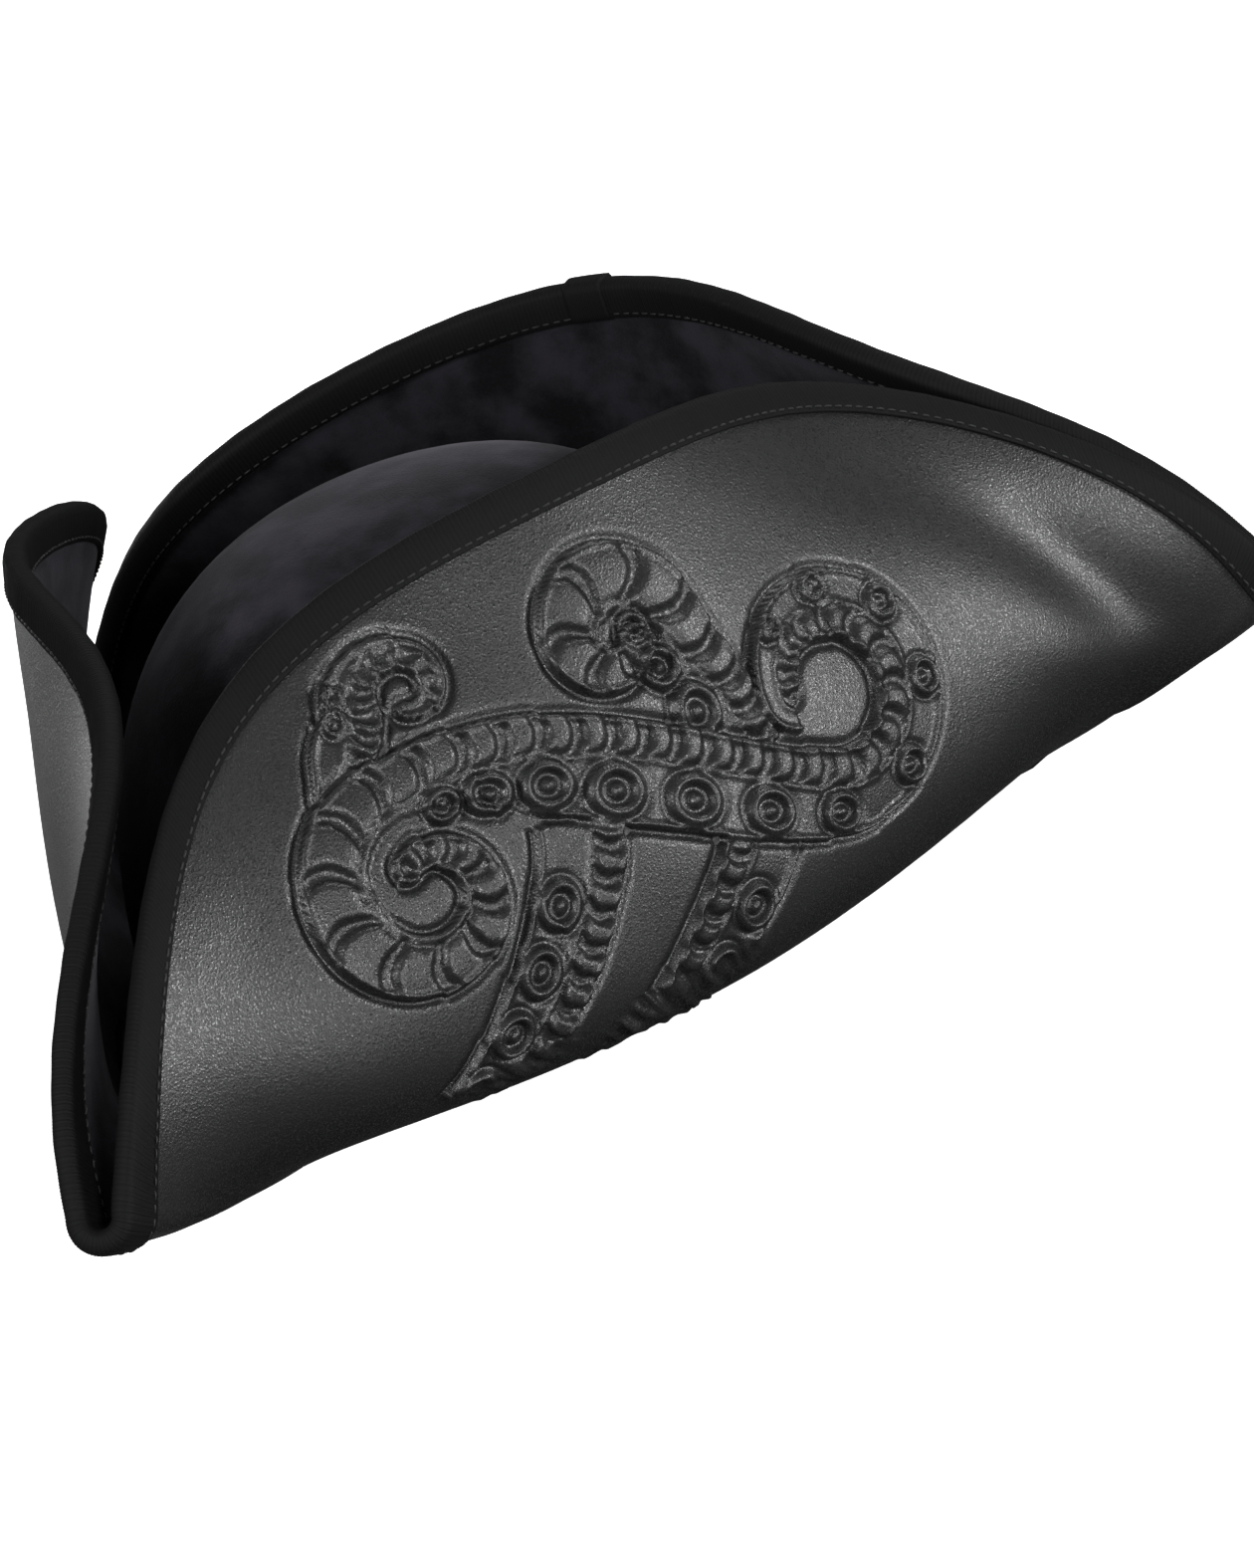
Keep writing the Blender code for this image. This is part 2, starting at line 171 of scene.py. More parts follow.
# The camera, and what the studio lights aim at
CAMERA_AIM_HEIGHT = 0.0595
CAMERA_DISTANCE = 1.60
CAMERA_AZIMUTH, CAMERA_ELEVATION, CAMERA_ROLL = radians(31.07), radians(16.14), radians(17.93)
CAMERA_LENS = 147.35
CAMERA_ASIDE = (0.0461, -0.0195)
LIGHT_AIM_HEIGHT = 0.06
FLOOR_REACH = 30.0

# How much longer than wide the crown's oval is, and how much further round than a circle of its width
LONG = CROWN_HALF_LENGTH / CROWN_HALF_WIDTH
OVAL_ROUND = 1.09
AXIS = (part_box("crown_cover")[0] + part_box("crown_cover")[1]) / 2
SHIFT = np.array([AXIS.x, AXIS.y, 0.0])


# ---------------------------------------------------------------- the brim's curved face


def bezier(handles, t):
    """The points at t on the Bezier curve that has these handles."""
    n = len(handles) - 1
    return sum(comb(n, i) * t**i * (1 - t) ** (n - i) * h for i, h in enumerate(handles))


def smooth_step(low, high, value):
    share = np.clip((value - low) / (high - low), 0.0, 1.0)
    return share * share * (3 - 2 * share)


def bell(value, width):
    return np.exp(-((value / width) ** 2))


def on_back_panel(corner, side):
    return abs(corner + side * pi / 3 - pi / 2) < 0.01


def roll_distance(corner, side):
    """How far the fold's middle is from the axis; the wearer's right panel is pressed flatter."""
    if on_back_panel(corner, side):
        return BACK_ROLL_DISTANCE
    return LEFT_ROLL_DISTANCE if cos(corner + side * pi / 3) > 0 else RIGHT_ROLL_DISTANCE


def edge_points(corner, side, turn, t):
    """The brim's edge from a beak's tip to the panel's peak, in the corner's own directions."""
    distance, height = BACK_PEAK if on_back_panel(corner, side) else SIDE_PEAK
    peak = np.array([distance * cos(pi / 3), distance * sin(pi / 3), height])
    along = np.array([cos(pi / 6), -sin(pi / 6), 0.0])
    handles = [np.array(handle) for handle in EDGE_HANDLES]
    if corner != FRONT:
        for handle, share in zip(handles, REAR_LIFT_SHARES):
            handle[2] += REAR_LIFT * share
    handles += [peak + PEAK_HANDLE * along, peak]
    down = (handles[0] - handles[1]) * (1, 0, 1)
    down /= np.linalg.norm(down)
    across = np.array([0.0, BEAK_HALF_GAP, 0.0])
    tip = handles[0] * (1, 0, 1) + np.sin(turn)[:, None] * across
    tip = tip + np.cos(turn)[:, None] * BEAK_HALF_GAP * down
    return np.where(t[:, None] > 0, bezier(handles, t[:, None]), tip)


def to_world(corner, side, points):
    points = points * (1, side, 1)
    along = np.array([cos(corner), sin(corner), 0.0])
    across = np.array([-sin(corner), cos(corner), 0.0])
    up = np.array([0.0, 0.0, 1.0])
    return points[:, :1] * along + points[:, 1:2] * across + points[:, 2:] * up


def section_handles(corner, side, turn, t):
    """The ring's inner points and the four handles of each section, out to the edge."""
    edge = edge_points(corner, side, turn, t)
    across = np.where(t > 0, 1.0, np.sin(turn))
    spread = FRONT_SPREAD * across + (pi / 3 - FRONT_SPREAD) * t**SPREAD_POWER
    start = np.array([TIP, BEAK_HALF_GAP, 0.0])
    along = np.array([-cos(pi / 6), sin(pi / 6), 0.0])
    out = np.array([sin(pi / 6), cos(pi / 6), 0.0])
    half_length = (TIP - BEAK_HALF_GAP / 2) * cos(pi / 6)
    share = np.clip((edge - start) @ along / half_length, 0, 1) * (t > 0)
    bow = roll_distance(corner, side) - (TIP * cos(pi / 3) + BEAK_HALF_GAP * sin(pi / 3))
    lift = TIP_LIFT if corner == FRONT else TIP_LIFT + REAR_LIFT
    s = share[:, None]
    fold = start + along * half_length * s + out * bow * np.sin(pi / 2 * s)
    fold = fold + np.array([0.0, 0.0, lift]) * (1 - s) ** TIP_LIFT_POWER

    def foot(more):
        angle = corner + side * spread
        a, b = CROWN_HALF_WIDTH + more, CROWN_HALF_LENGTH + more
        r = 1 / np.hypot(np.cos(angle) / a, np.sin(angle) / b)
        return np.stack([r * np.cos(spread), r * np.sin(spread), 0 * r], 1)

    outer, inner = foot(CROWN_CLEARANCE + FLAT_RING), foot(CROWN_CLEARANCE)
    back = fold - outer
    roll = fold + out * ROLL_OUT * s - back * ROLL_DRAW[0] * (1 - s) ** ROLL_DRAW[1]
    below = fold + out * BELLY_OUT * s - back * BELLY_DRAW[0] * (1 - s) ** BELLY_DRAW[1]
    roll[:, 1] *= across
    below[:, 1] *= across
    roll[:, 2] = fold[:, 2] * share
    below[:, 2] = fold[:, 2] + BELLY_SHARE * (edge[:, 2] - fold[:, 2])
    handles = [to_world(corner, side, h) for h in (outer, roll, below, edge)]
    return to_world(corner, side, inner), handles


class Loop:
    """Sections all round the brim, at stations chosen by a spacing rule."""

    def __init__(self, spacing, fine_part=None):
        inners, handles, panels, fine = [], [[], [], [], []], [], []
        for number, corner in enumerate((FRONT, REAR_LEFT, REAR_RIGHT)):
            for side in (-1, 1):
                turn, t, is_fine = self.half(corner, side, spacing, fine_part)
                if side < 0:
                    turn, t, is_fine = turn[1:-1][::-1], t[1:-1][::-1], is_fine[1:-1][::-1]
                inner, four = section_handles(corner, side, turn, t)
                inners.append(inner)
                for kept, handle in zip(handles, four):
                    kept.append(handle)
                panels.append(np.full(len(t), number if side > 0 else (number - 1) % 3))
                fine.append(is_fine)
        self.inner = np.concatenate(inners)
        self.handles = [np.concatenate(kept) for kept in handles]
        self.panel = np.concatenate(panels)
        self.fine = np.concatenate(fine)

    @staticmethod
    def half(corner, side, spacing, fine_part):
        """Stations from the tip to the panel's middle, closer together in the fine part."""
        turn = np.concatenate([np.linspace(0, pi / 2, TURN_STATIONS)[:-1], np.full(EDGE_STATIONS, pi / 2)])
        t = np.concatenate([np.zeros(TURN_STATIONS - 1), np.linspace(0, 1, EDGE_STATIONS)])
        edge = to_world(corner, side, edge_points(corner, side, turn, t))
        step = np.linalg.norm(np.diff(edge, axis=0), axis=1)
        length = np.concatenate([[0], np.cumsum(step)])
        embossed = (corner, side) in ((FRONT, 1), (REAR_LEFT, -1))
        wanted = np.full(len(t), spacing)
        is_fine = np.zeros(len(t), bool)
        if fine_part and embossed:
            _, handles = section_handles(corner, side, turn, t)
            x = bezier(handles, 0.6) @ PANEL_ALONG
            is_fine = (x > fine_part[0]) & (x < fine_part[1])
            moved = np.gradient(x, length)
            wanted = np.where(is_fine, FINE / np.maximum(abs(moved), 0.2), spacing)
        count = np.concatenate([[0], np.cumsum(step / wanted[1:])])
        total = max(round(count[-1]), 8)
        places = np.interp(np.linspace(0, count[-1], total + 1), count, np.arange(len(t)))
        turn = np.interp(places, np.arange(len(t)), turn)
        t = np.interp(places, np.arange(len(t)), t)
        t[0], t[-1] = 0.0, 1.0
        turn[0] = 0.0
        return turn, t, is_fine[np.round(places).astype(int)]

    def rows(self, shares):
        """Points on the outer face for each station at these shares of the section."""
        shares = np.asarray(shares, float)
        grid = bezier([h[:, None] for h in self.handles], shares[None, :, None])
        return np.concatenate([self.inner[:, None], grid], axis=1)

    def from_edge(self, depths):
        """Points on the outer face at these depths in from the edge."""
        reach = 3 * np.linalg.norm(self.handles[3] - self.handles[2], axis=1)
        shares = 1 - np.asarray(depths)[None, :] / reach[:, None]
        return bezier([h[:, None] for h in self.handles], shares[..., None])


def normals_of(grid, flat_ring=True):
    """Unit normals on the crown's side of the brim."""
    round_about = np.roll(grid, -1, axis=0) - np.roll(grid, 1, axis=0)
    normals = -np.cross(round_about, np.gradient(grid, axis=1))
    normals /= np.maximum(np.linalg.norm(normals, axis=2, keepdims=True), 1e-12)
    if flat_ring:
        normals[:, :2] = (0.0, 0.0, 1.0)
    return normals


def panel_places(grid, panel):
    """Each point's place on its panel: along it from the middle, and up it from the fold."""
    angles = np.array([pi / 3, pi, -pi / 3])[panel]
    along = np.stack([np.cos(angles), np.sin(angles), 0 * angles], 1)
    x = np.einsum("ijk,ik->ij", grid, along)
    step = np.linalg.norm(np.diff(grid, axis=1), axis=2)
    length = np.concatenate([np.zeros((len(grid), 1)), np.cumsum(step, axis=1)], axis=1)
    climb = np.diff(grid[..., 2], axis=1) / np.maximum(step, 1e-9)
    fold = np.argmax(climb > cos(pi / 4), axis=1)
    rows = np.arange(len(grid))
    up = length - length[rows, fold][:, None] + grid[rows, fold, 2][:, None]
    return x, up, length[:, -1:] - length


def soft_waves(x, up, from_edge, panel):
    """How far the moulded sheet stands off its true curve: a hand-shaped sheet is never quite even."""
    panel = panel[:, None]
    wave = 0.00045 * np.sin(x * 47 + 1.3 + panel * 2.1) * np.sin(up * 61 + 0.5 + panel)
    wave += 0.00025 * np.sin(x * 108 + up * 71 + panel * 1.7)
    past_x, past_up = x - DENT_PLACE[0], up - DENT_PLACE[1]
    beside = past_x * DENT_RUN[0] + past_up * DENT_RUN[1]
    along = -past_x * DENT_RUN[1] + past_up * DENT_RUN[0]
    depth, wide, long = DENT_WAVE
    height, ridge_wide, ridge_long = RIDGE_WAVE
    dent = -depth * bell(beside, wide) * bell(along, long)
    dent += height * bell(beside + RIDGE_BESIDE, ridge_wide) * bell(along, ridge_long)
    wave += np.where(panel == 0, dent, 0.0)
    return wave * smooth_step(0.0, 0.030, from_edge - BINDING_DEPTH) * smooth_step(0.004, 0.040, up)


# ---------------------------------------------------------------- the embossed ornament


def spiral(centre, start, end, from_angle, turns, clockwise):
    """Points on a spiral whose radius goes evenly from start to end, its sizes given in centimetres."""
    share = np.linspace(0, 1, int(140 * abs(turns)) + 2)
    angle = radians(from_angle) + (-1 if clockwise else 1) * 2 * pi * turns * share
    radius = start * CM + (end * CM - start * CM) * share
    return np.array(centre) * CM + np.stack([radius * np.cos(angle), radius * np.sin(angle)], 1)


def bridge(first, second, pull_out, pull_in):
    """A curve from the end of one run into the start of the next, its pulls in centimetres."""
    leave = first[-1] - first[-2]
    meet = second[1] - second[0]
    leave /= np.linalg.norm(leave)
    meet /= np.linalg.norm(meet)
    inner = [first[-1] + leave * (pull_out * CM), second[0] - meet * (pull_in * CM)]
    return bezier([first[-1], *inner, second[0]], np.linspace(0, 1, 160)[1:-1, None])


def evenly(points, step):
    length = np.concatenate([[0], np.cumsum(np.linalg.norm(np.diff(points, axis=0), axis=1))])
    at = np.arange(0, length[-1], step)
    return np.stack([np.interp(at, length, points[:, k]) for k in (0, 1)], 1), at


def ridge(value, profile):
    """A rounded ridge, or a groove, from its height, place and width."""
    height, place, width = profile
    return height * bell(value - place, width)


class Arm:
    """One curling arm: a ringed band on one side and a smooth strip with suckers on the other.

    band and strip are widths in millimetres at even places along the path. suckers holds the shares of
    the path where they start and end, and the gap between them in sucker radii. A hidden end tucks under
    another arm.
    """

    def __init__(self, points, band, strip, side, suckers, ring_pitch=1.55, hidden=(False, False)):
        self.path, along = evenly(points, PATH_STEP)
        total = along[-1]
        share = along / total
        self.band, self.strip = (
            np.interp(share, np.linspace(0, 1, len(wide)), np.array(wide) * MM) for wide in (band, strip)
        )
        self.side = side
        self.pitch = ring_pitch
        self.hidden = hidden
        heading = np.gradient(self.path, axis=0)
        heading /= np.linalg.norm(heading, axis=1, keepdims=True)
        self.left = np.stack([-heading[:, 1], heading[:, 0]], 1)
        self.phase = np.cumsum(PATH_STEP / (self.pitch * self.band))
        self.suckers = []
        low, high, gap = suckers
        place = low * total
        while place < high * total:
            i = min(int(place / PATH_STEP), len(along) - 1)
            off = self.band[i] + self.strip[i] / 2
            size = SUCKER_FILL * self.strip[i] / 2
            middle = self.path[i] + self.left[i] * self.side * off
            self.suckers.append((middle, size, self.left[i]))
            place += gap * size
        self.tree = kdtree.KDTree(len(self.path))
        for i, point in enumerate(self.path):
            self.tree.insert((point[0], point[1], 0.0), i)
        self.tree.balance()
        self.reach = float((self.band + self.strip).max()) + 0.004

    def carve(self, height, x, up):
        """Lays this arm over what is there: raised where the arm is, sunk in a fine line round it."""
        low, high = self.path.min(0) - self.reach, self.path.max(0) + self.reach
        near = np.flatnonzero((x > low[0]) & (x < high[0]) & (up > low[1]) & (up < high[1]))
        found = np.array([self.tree.find((x[i], up[i], 0.0))[1] for i in near], int)
        seen = np.ones(len(found), bool)
        if self.hidden[0]:
            seen &= found > 0
        if self.hidden[1]:
            seen &= found < len(self.path) - 1
        near, found = near[seen], found[seen]
        if not len(found):
            return
        apart = np.stack([x[near], up[near]], 1) - self.path[found]
        q = (apart * self.left[found]).sum(1) * self.side
        distance = np.linalg.norm(apart, axis=1)
        end_on = distance > abs(q) + 1e-5
        q = np.where(end_on, np.sign(q) * distance, q)
        band, strip = self.band[found], self.strip[found]
        inside = np.where(q > 0, band + strip - q, band + q)
        cover = smooth_step(-0.0002, 0.0006, inside)
        across = np.clip(abs(q) / band, 0, 1)
        ring = self.phase[found] + RING_BOW * (q / band) ** 2
        to_rib = abs(ring - np.round(ring)) * self.pitch * band
        pillow = np.sqrt(np.clip(1 - across**4, 0, 1)) * smooth_step(*PILLOW_EDGE, to_rib)
        own = ARM_FLOOR + PILLOW_HEIGHT * pillow + ridge(to_rib, RIB_PROFILE) * (across < 1)
        own = np.where(q > band, STRIP_HEIGHT + ridge(q - band, SEAM_PROFILE), own)
        own += ridge(inside, RIM_PROFILE)
        groove = ridge(np.clip(-inside, 0, None), OUTLINE_PROFILE) * (inside < 0.0002)
        height[near] = height[near] * (1 - cover) + own * cover - groove
        for middle, size, left in self.suckers:
            apart = np.stack([x[near], up[near]], 1) - middle
            across_arm = (apart * left).sum(1)
            along_arm = apart @ np.array([left[1], -left[0]])
            radius = np.hypot(across_arm, along_arm * SUCKER_STRETCH) / size
            close = np.flatnonzero(radius < SUCKER_REACH)
            height[near[close]] += sum(ridge(radius[close], profile) for profile in SUCKER_PROFILES)


def ornament(x, up):
    """The height of the embossing over the panel: curling arms of the sea kind, laid over each other."""
    large = spiral((-7.7, 6.0), 0.75, 2.65, 108, 1.05, True)
    loop = spiral((4.1, 6.0), 2.0, 1.30, -118, 0.80, False)
    s_arm = np.concatenate([large, bridge(large, loop, 4.6, 4.0), loop])
    shell = spiral((-0.9, 9.35), 0.60, 1.75, -36, 0.90, True)
    shell_end = np.array([[1.5, 6.9], [1.7, 5.4]]) * CM
    shell_arm = np.concatenate([shell, bridge(shell, shell_end, 1.0, 0.8), shell_end])
    curl = spiral((-6.0, 10.45), 0.45, 0.95, -108, 0.80, False)
    curl_end = np.array([[-7.7, 9.3], [-8.0, 8.5]]) * CM
    curl_arm = np.concatenate([curl, bridge(curl, curl_end, 0.6, 0.4), curl_end])
    t = np.linspace(0, 1, 200)[:, None]
    first_root = np.array([(-3.0, 5.8), (-3.4, 4.2), (-4.8, 2.8), (-8.0, -0.4)]) * CM
    second_root = np.array([(0.6, 4.6), (-0.2, 3.2), (-1.9, 2.2), (-5.0, -0.8)]) * CM
    both, end = (True, True), (False, True)
    arms = [
        Arm(bezier(second_root, t), (4.2, 3.6), (13, 11), 1, (0.30, 0.95, 2.9), 1.9, both),
        Arm(bezier(first_root, t), (4.4, 3.8), (14, 12), -1, (0.30, 0.95, 2.9), 1.9, both),
        Arm(curl_arm, (1.8, 3.0, 3.6, 3.6), (0.8, 2.5, 7.5, 8.5), -1, (0.56, 0.85, 3.0), hidden=end),
        Arm(
            shell_arm,
            (3.6, 6.2, 7.8, 7.2, 5.0, 3.4),
            (0.8, 1.5, 3.0, 9.5, 15, 15),
            -1, (0.60, 0.93, 2.7), 1.85, end,
        ),
        Arm(
            s_arm,
            (3.2, 5.4, 7.4, 6.8, 5.2, 4.6, 4.5, 4.7, 4.8, 2.8),
            (0.8, 2.0, 3.0, 5.0, 13, 16, 15, 11, 10, 6),
            -1, (0.40, 0.97, 3.0), 1.85,
        ),
    ]
    height = np.zeros(len(x))
    for arm in arms:
        arm.carve(height, x, up)
    return height


# ---------------------------------------------------------------- meshes


def new_piece(name, points, faces, material, slot, node, smooth=True, uv=None):
    """Makes a mesh object on the hat's axis that rides on the frame and stands for a CAD node."""
    mesh = bpy.data.meshes.new(name)
    mesh.from_pydata((np.asarray(points) + SHIFT).tolist(), [], faces)
    if uv is not None:
        layer = mesh.uv_layers.new(name="Cloth")
        corners = np.zeros(len(mesh.loops), np.int32)
        mesh.loops.foreach_get("vertex_index", corners)
        layer.data.foreach_set("uv", np.asarray(uv, np.float32)[corners].ravel())
    if smooth:
        mesh.polygons.foreach_set("use_smooth", np.ones(len(mesh.polygons), bool))
    mesh.materials.append(material)
    mesh.update()
    piece = bpy.data.objects.new(name, mesh)
    bpy.context.scene.collection.objects.link(piece)
    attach(piece, "root")
    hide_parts(node)
    return piece


def grid_faces(count, width, closed_round=True, closed_across=False, offset=0):
    """Quads over a grid of points, count stations by width points."""
    i = np.arange(count if closed_round else count - 1)[:, None]
    j = np.arange(width if closed_across else width - 1)[None, :]
    here, after = i * width, ((i + 1) % count) * width
    k = (j + 1) % width
    quads = np.stack([here + j, after + j, after + k, here + k], -1).reshape(-1, 4) + offset
    return quads.tolist()


def layer_of(name, near, far, material, slot, node, short=0.0):
    """One plain layer of the laminate, between two depths from the outer face."""
    loop = Loop(COARSE)
    grid = loop.rows(np.linspace(0, 1, ROWS))
    normals = normals_of(grid)
    x, up, from_edge = panel_places(grid, loop.panel)
    wave = soft_waves(x, up, from_edge, loop.panel)[..., None]
    outward = grid[:, -1] - grid[:, -2]
    outward /= np.linalg.norm(outward, axis=1, keepdims=True)
    grid[:, -1] -= outward * short
    faces = [grid + normals * (depth - wave) for depth in (near, far)]
    section = np.concatenate([faces[0], faces[1][:, ::-1]], axis=1)
    count, width = section.shape[:2]
    quads = grid_faces(count, width, closed_across=True)
    return new_piece(name, section.reshape(-1, 3), quads, material, slot, node)


def leather_facing(material, relief):
    """The outer face, with fine columns and rows under the ornament and coarse ones elsewhere."""
    loop = Loop(COARSE, fine_part=ORNAMENT_SPAN)
    coarse = np.linspace(0, 1, ROWS)
    split = [coarse[0]]
    for j in range(ROWS - 1):
        parts = FINE_ROW_SPLIT if j >= FIRST_FINE_ROW else 1
        split += list(coarse[j] + (coarse[j + 1] - coarse[j]) * np.arange(1, parts + 1) / parts)
    kept = [0] + [1 + int(np.argmin(abs(np.array(split) - c))) for c in coarse]
    grid = loop.rows(split)
    normals = normals_of(grid)
    x, up, from_edge = panel_places(grid, loop.panel)
    away = soft_waves(x, up, from_edge, loop.panel)
    embossed = (loop.panel == 0)[:, None] & loop.fine[:, None] & (up > ORNAMENT_LOW)
    embossed &= (x > ORNAMENT_SPAN[0]) & (x < ORNAMENT_SPAN[1])
    raised = np.zeros_like(x)
    raised[embossed] = ornament(x[embossed], up[embossed])
    raised *= smooth_step(0.0, 0.004, from_edge - BINDING_DEPTH - 0.001) * smooth_step(-0.014, 0.016, up)
    grid = grid - normals * (away + raised * relief)[..., None]
    rim = grid[:, 0] + np.array([0.0, 0.0, LEATHER])
    index = -np.ones(grid.shape[:2], int)
    points, faces = [], []
    for i in range(len(grid)):
        rows = range(grid.shape[1]) if loop.fine[i] else kept
        index[i, list(rows)] = np.arange(len(points), len(points) + len(rows))
        points.extend(grid[i, list(rows)])
    rim_start = len(points)
    points.extend(rim)
    for i in range(len(grid)):
        k = (i + 1) % len(grid)
        faces.append((index[i, 0], index[k, 0], rim_start + k, rim_start + i))
        both = loop.fine[i] and loop.fine[k]
        steps = range(grid.shape[1]) if both else kept
        for a, b in zip(steps, steps[1:]):
            here = [index[i, r] for r in range(a, b + 1) if index[i, r] >= 0]
            after = [index[k, r] for r in range(a, b + 1) if index[k, r] >= 0]
            faces.append((*here[::-1], *after))
    points = np.array(points)
    faces = [tuple(int(v) for v in face) for face in faces]
    return new_piece("leather_facing", points, faces, material, "satin_leather", "brim_leather_facing")


def ribbon_frame(loop):
    """The way out over the edge, and the brim's normals at the edge and further in."""
    below = loop.from_edge([0.0, 0.0030, 0.0060, BINDING_DEPTH])
    grid = np.concatenate([loop.rows([0.9])[:, 1:], below[:, ::-1]], axis=1)
    normals = normals_of(grid, flat_ring=False)
    out = below[:, 0] - below[:, 1]
    out /= np.linalg.norm(out, axis=1, keepdims=True)
    return out, normals[:, -1], normals[:, -3]


def ribbon_section(loop, more=0.0, rib=None):
    """The ribbon's outline carried round the edge, standing more or less proud, with a fine cross rib."""
    out, edge_n, deep_n = ribbon_frame(loop)
    outline = np.array(RIBBON_OUTLINE) * MM
    depths = np.clip(outline[:, 1], 0, None)
    base = loop.from_edge(depths)
    share = (depths / BINDING_DEPTH)[None, :, None]
    normal = edge_n[:, None] * (1 - share) + deep_n[:, None] * share
    normal /= np.linalg.norm(normal, axis=2, keepdims=True)
    stand = outline[:, 0]
    middle = BRIM / 2
    stand = middle + (stand - middle) * (1 + more / 0.003)
    past = np.clip(-outline[:, 1], 0, None)
    past = past + np.where(outline[:, 1] < 1e-4, more, 0.0)
    points = base + normal * stand[None, :, None] + out[:, None] * past[None, :, None]
    away = np.sign(stand - middle)[None, :, None] * normal + out[:, None] * (past > 0)[None, :, None]
    away /= np.maximum(np.linalg.norm(away, axis=2, keepdims=True), 1e-9)
    return points if rib is None else points + away * rib[:, None, None]


def edge_lengths(loop):
    """How far round the edge each station is, and the edge's whole length."""
    edge = loop.handles[3]
    step = np.linalg.norm(np.roll(edge, -1, axis=0) - edge, axis=1)
    return np.concatenate([[0], np.cumsum(step)[:-1]]), step.sum()


def edge_binding(material, pitch, depth):
    """The grosgrain ribbon folded over the edge, its cross ribs modelled."""
    loop = Loop(pitch / RIB_SAMPLES)
    length, total = edge_lengths(loop)
    ribs = round(total / pitch)
    rib = depth * 0.5 * np.cos(2 * pi * length / total * ribs)
    puckers = 0.00010 * np.sin(length * 410) * np.sin(length * 137 + 1) + 0.00008 * np.sin(length * 61)
    section = ribbon_section(loop, rib=rib + puckers)
    count, width = section.shape[:2]
    quads = grid_faces(count, width)
    uv = np.stack(np.broadcast_arrays(length[:, None], np.arange(width)[None, :] * MM), -1).reshape(-1, 2)
    points = section.reshape(-1, 3)
    return new_piece("grosgrain_binding", points, quads, material, "grosgrain", "edge_binding", uv=uv)


def binding_lap(material, pitch, depth):
    """The ribbon's loose end, folded under and lapped over its start at the back panel's middle."""
    loop = Loop(pitch / LAP_SAMPLES)
    x, y, z = loop.handles[3].T
    run = np.flatnonzero((x > -0.0002) & (x < LAP_LENGTH) & (y > 0.05) & (z > 0.11))
    length, _ = edge_lengths(loop)
    local = length[run] - length[run].min()
    end = np.minimum(local, local.max() - local)
    rib = depth * 0.5 * np.cos(2 * pi * local / pitch) - 0.0005 * bell(end, 0.0004)
    section = ribbon_section(loop, more=LAP_PROUD)[run]
    lifted = ribbon_section(loop, more=LAP_PROUD + LAP_LIFT)[run]
    section = section + (lifted - section) * (rib / LAP_LIFT)[:, None, None]
    under = ribbon_section(loop, more=0.0001)[run]
    rows = np.concatenate([under[:1], section, under[-1:]])
    count, width = rows.shape[:2]
    quads = grid_faces(count, width, closed_round=False)
    return new_piece("binding_lap", rows.reshape(-1, 3), quads, material, "grosgrain", "binding_overlap")


def tube_faces(first, rings, round_by, end=-1):
    """The sides of a tube of rings and the faces that close it; end says which way round those go."""
    faces = grid_faces(rings, round_by, closed_round=False, closed_across=True, offset=first)
    last = first + (rings - 1) * round_by
    faces.append(tuple(range(first, first + round_by))[::end])
    faces.append(tuple(range(last, last + round_by))[::-end])
    return faces


def stitches(name, starts, ends, proud, material, node):
    """A row of separate machine stitches, each dipping into the cloth at its ends."""
    rings, round_by = 7, 6
    along = ends - starts
    along_unit = along / np.linalg.norm(along, axis=1, keepdims=True)
    side = np.cross(along_unit, proud)
    side /= np.linalg.norm(side, axis=1, keepdims=True)
    up = np.cross(side, along_unit)
    share = np.linspace(0, 1, rings)
    angle = np.arange(round_by) * 2 * pi / round_by
    thick = np.sqrt(np.clip(1 - (2 * share - 1) ** 6, 0.02, 1))
    dip = -2.2 * THREAD_RADIUS * abs(2 * share - 1) ** 4
    centre = starts[:, None] + along[:, None] * share[None, :, None] + up[:, None] * dip[None, :, None]
    circle = side[:, None, None] * np.cos(angle)[None, None, :, None]
    circle = circle + up[:, None, None] * np.sin(angle)[None, None, :, None]
    points = centre[:, :, None] + circle * (thick * THREAD_RADIUS)[None, :, None, None]
    faces = []
    for n in range(len(starts)):
        faces += tube_faces(n * rings * round_by, rings, round_by)
    return new_piece(name, points.reshape(-1, 3), faces, material, "sewing_thread", node)


def binding_stitches(name, side, material, node, pitch):
    """The stitches through the binding on one face."""
    loop = Loop(STITCH_STATIONS)
    normal = ribbon_frame(loop)[2]
    row = loop.from_edge([BINDING_DEPTH - STITCH_INSET])[:, 0]
    line = row + normal * (-BINDING_PROUD if side < 0 else BRIM + BINDING_PROUD)
    step = np.linalg.norm(np.roll(line, -1, axis=0) - line, axis=1)
    length = np.concatenate([[0], np.cumsum(step)])
    closed = np.concatenate([line, line[:1]])
    closed_n = np.concatenate([normal, normal[:1]])
    count = int(length[-1] / pitch)
    begin = np.arange(count) * length[-1] / count
    jitter = np.random.default_rng(5 if side < 0 else 9).normal(0, STITCH_JITTER, (count, 2))

    def at(places, values):
        return np.stack([np.interp(places, length, values[:, k]) for k in range(3)], 1)

    starts = at(begin + jitter[:, 0], closed)
    ends = at(begin + STITCH_SHARE * pitch + jitter[:, 1], closed)
    return stitches(name, starts, ends, at(begin, closed_n) * side, material, node)


# ---------------------------------------------------------------- the crown and what is inside it


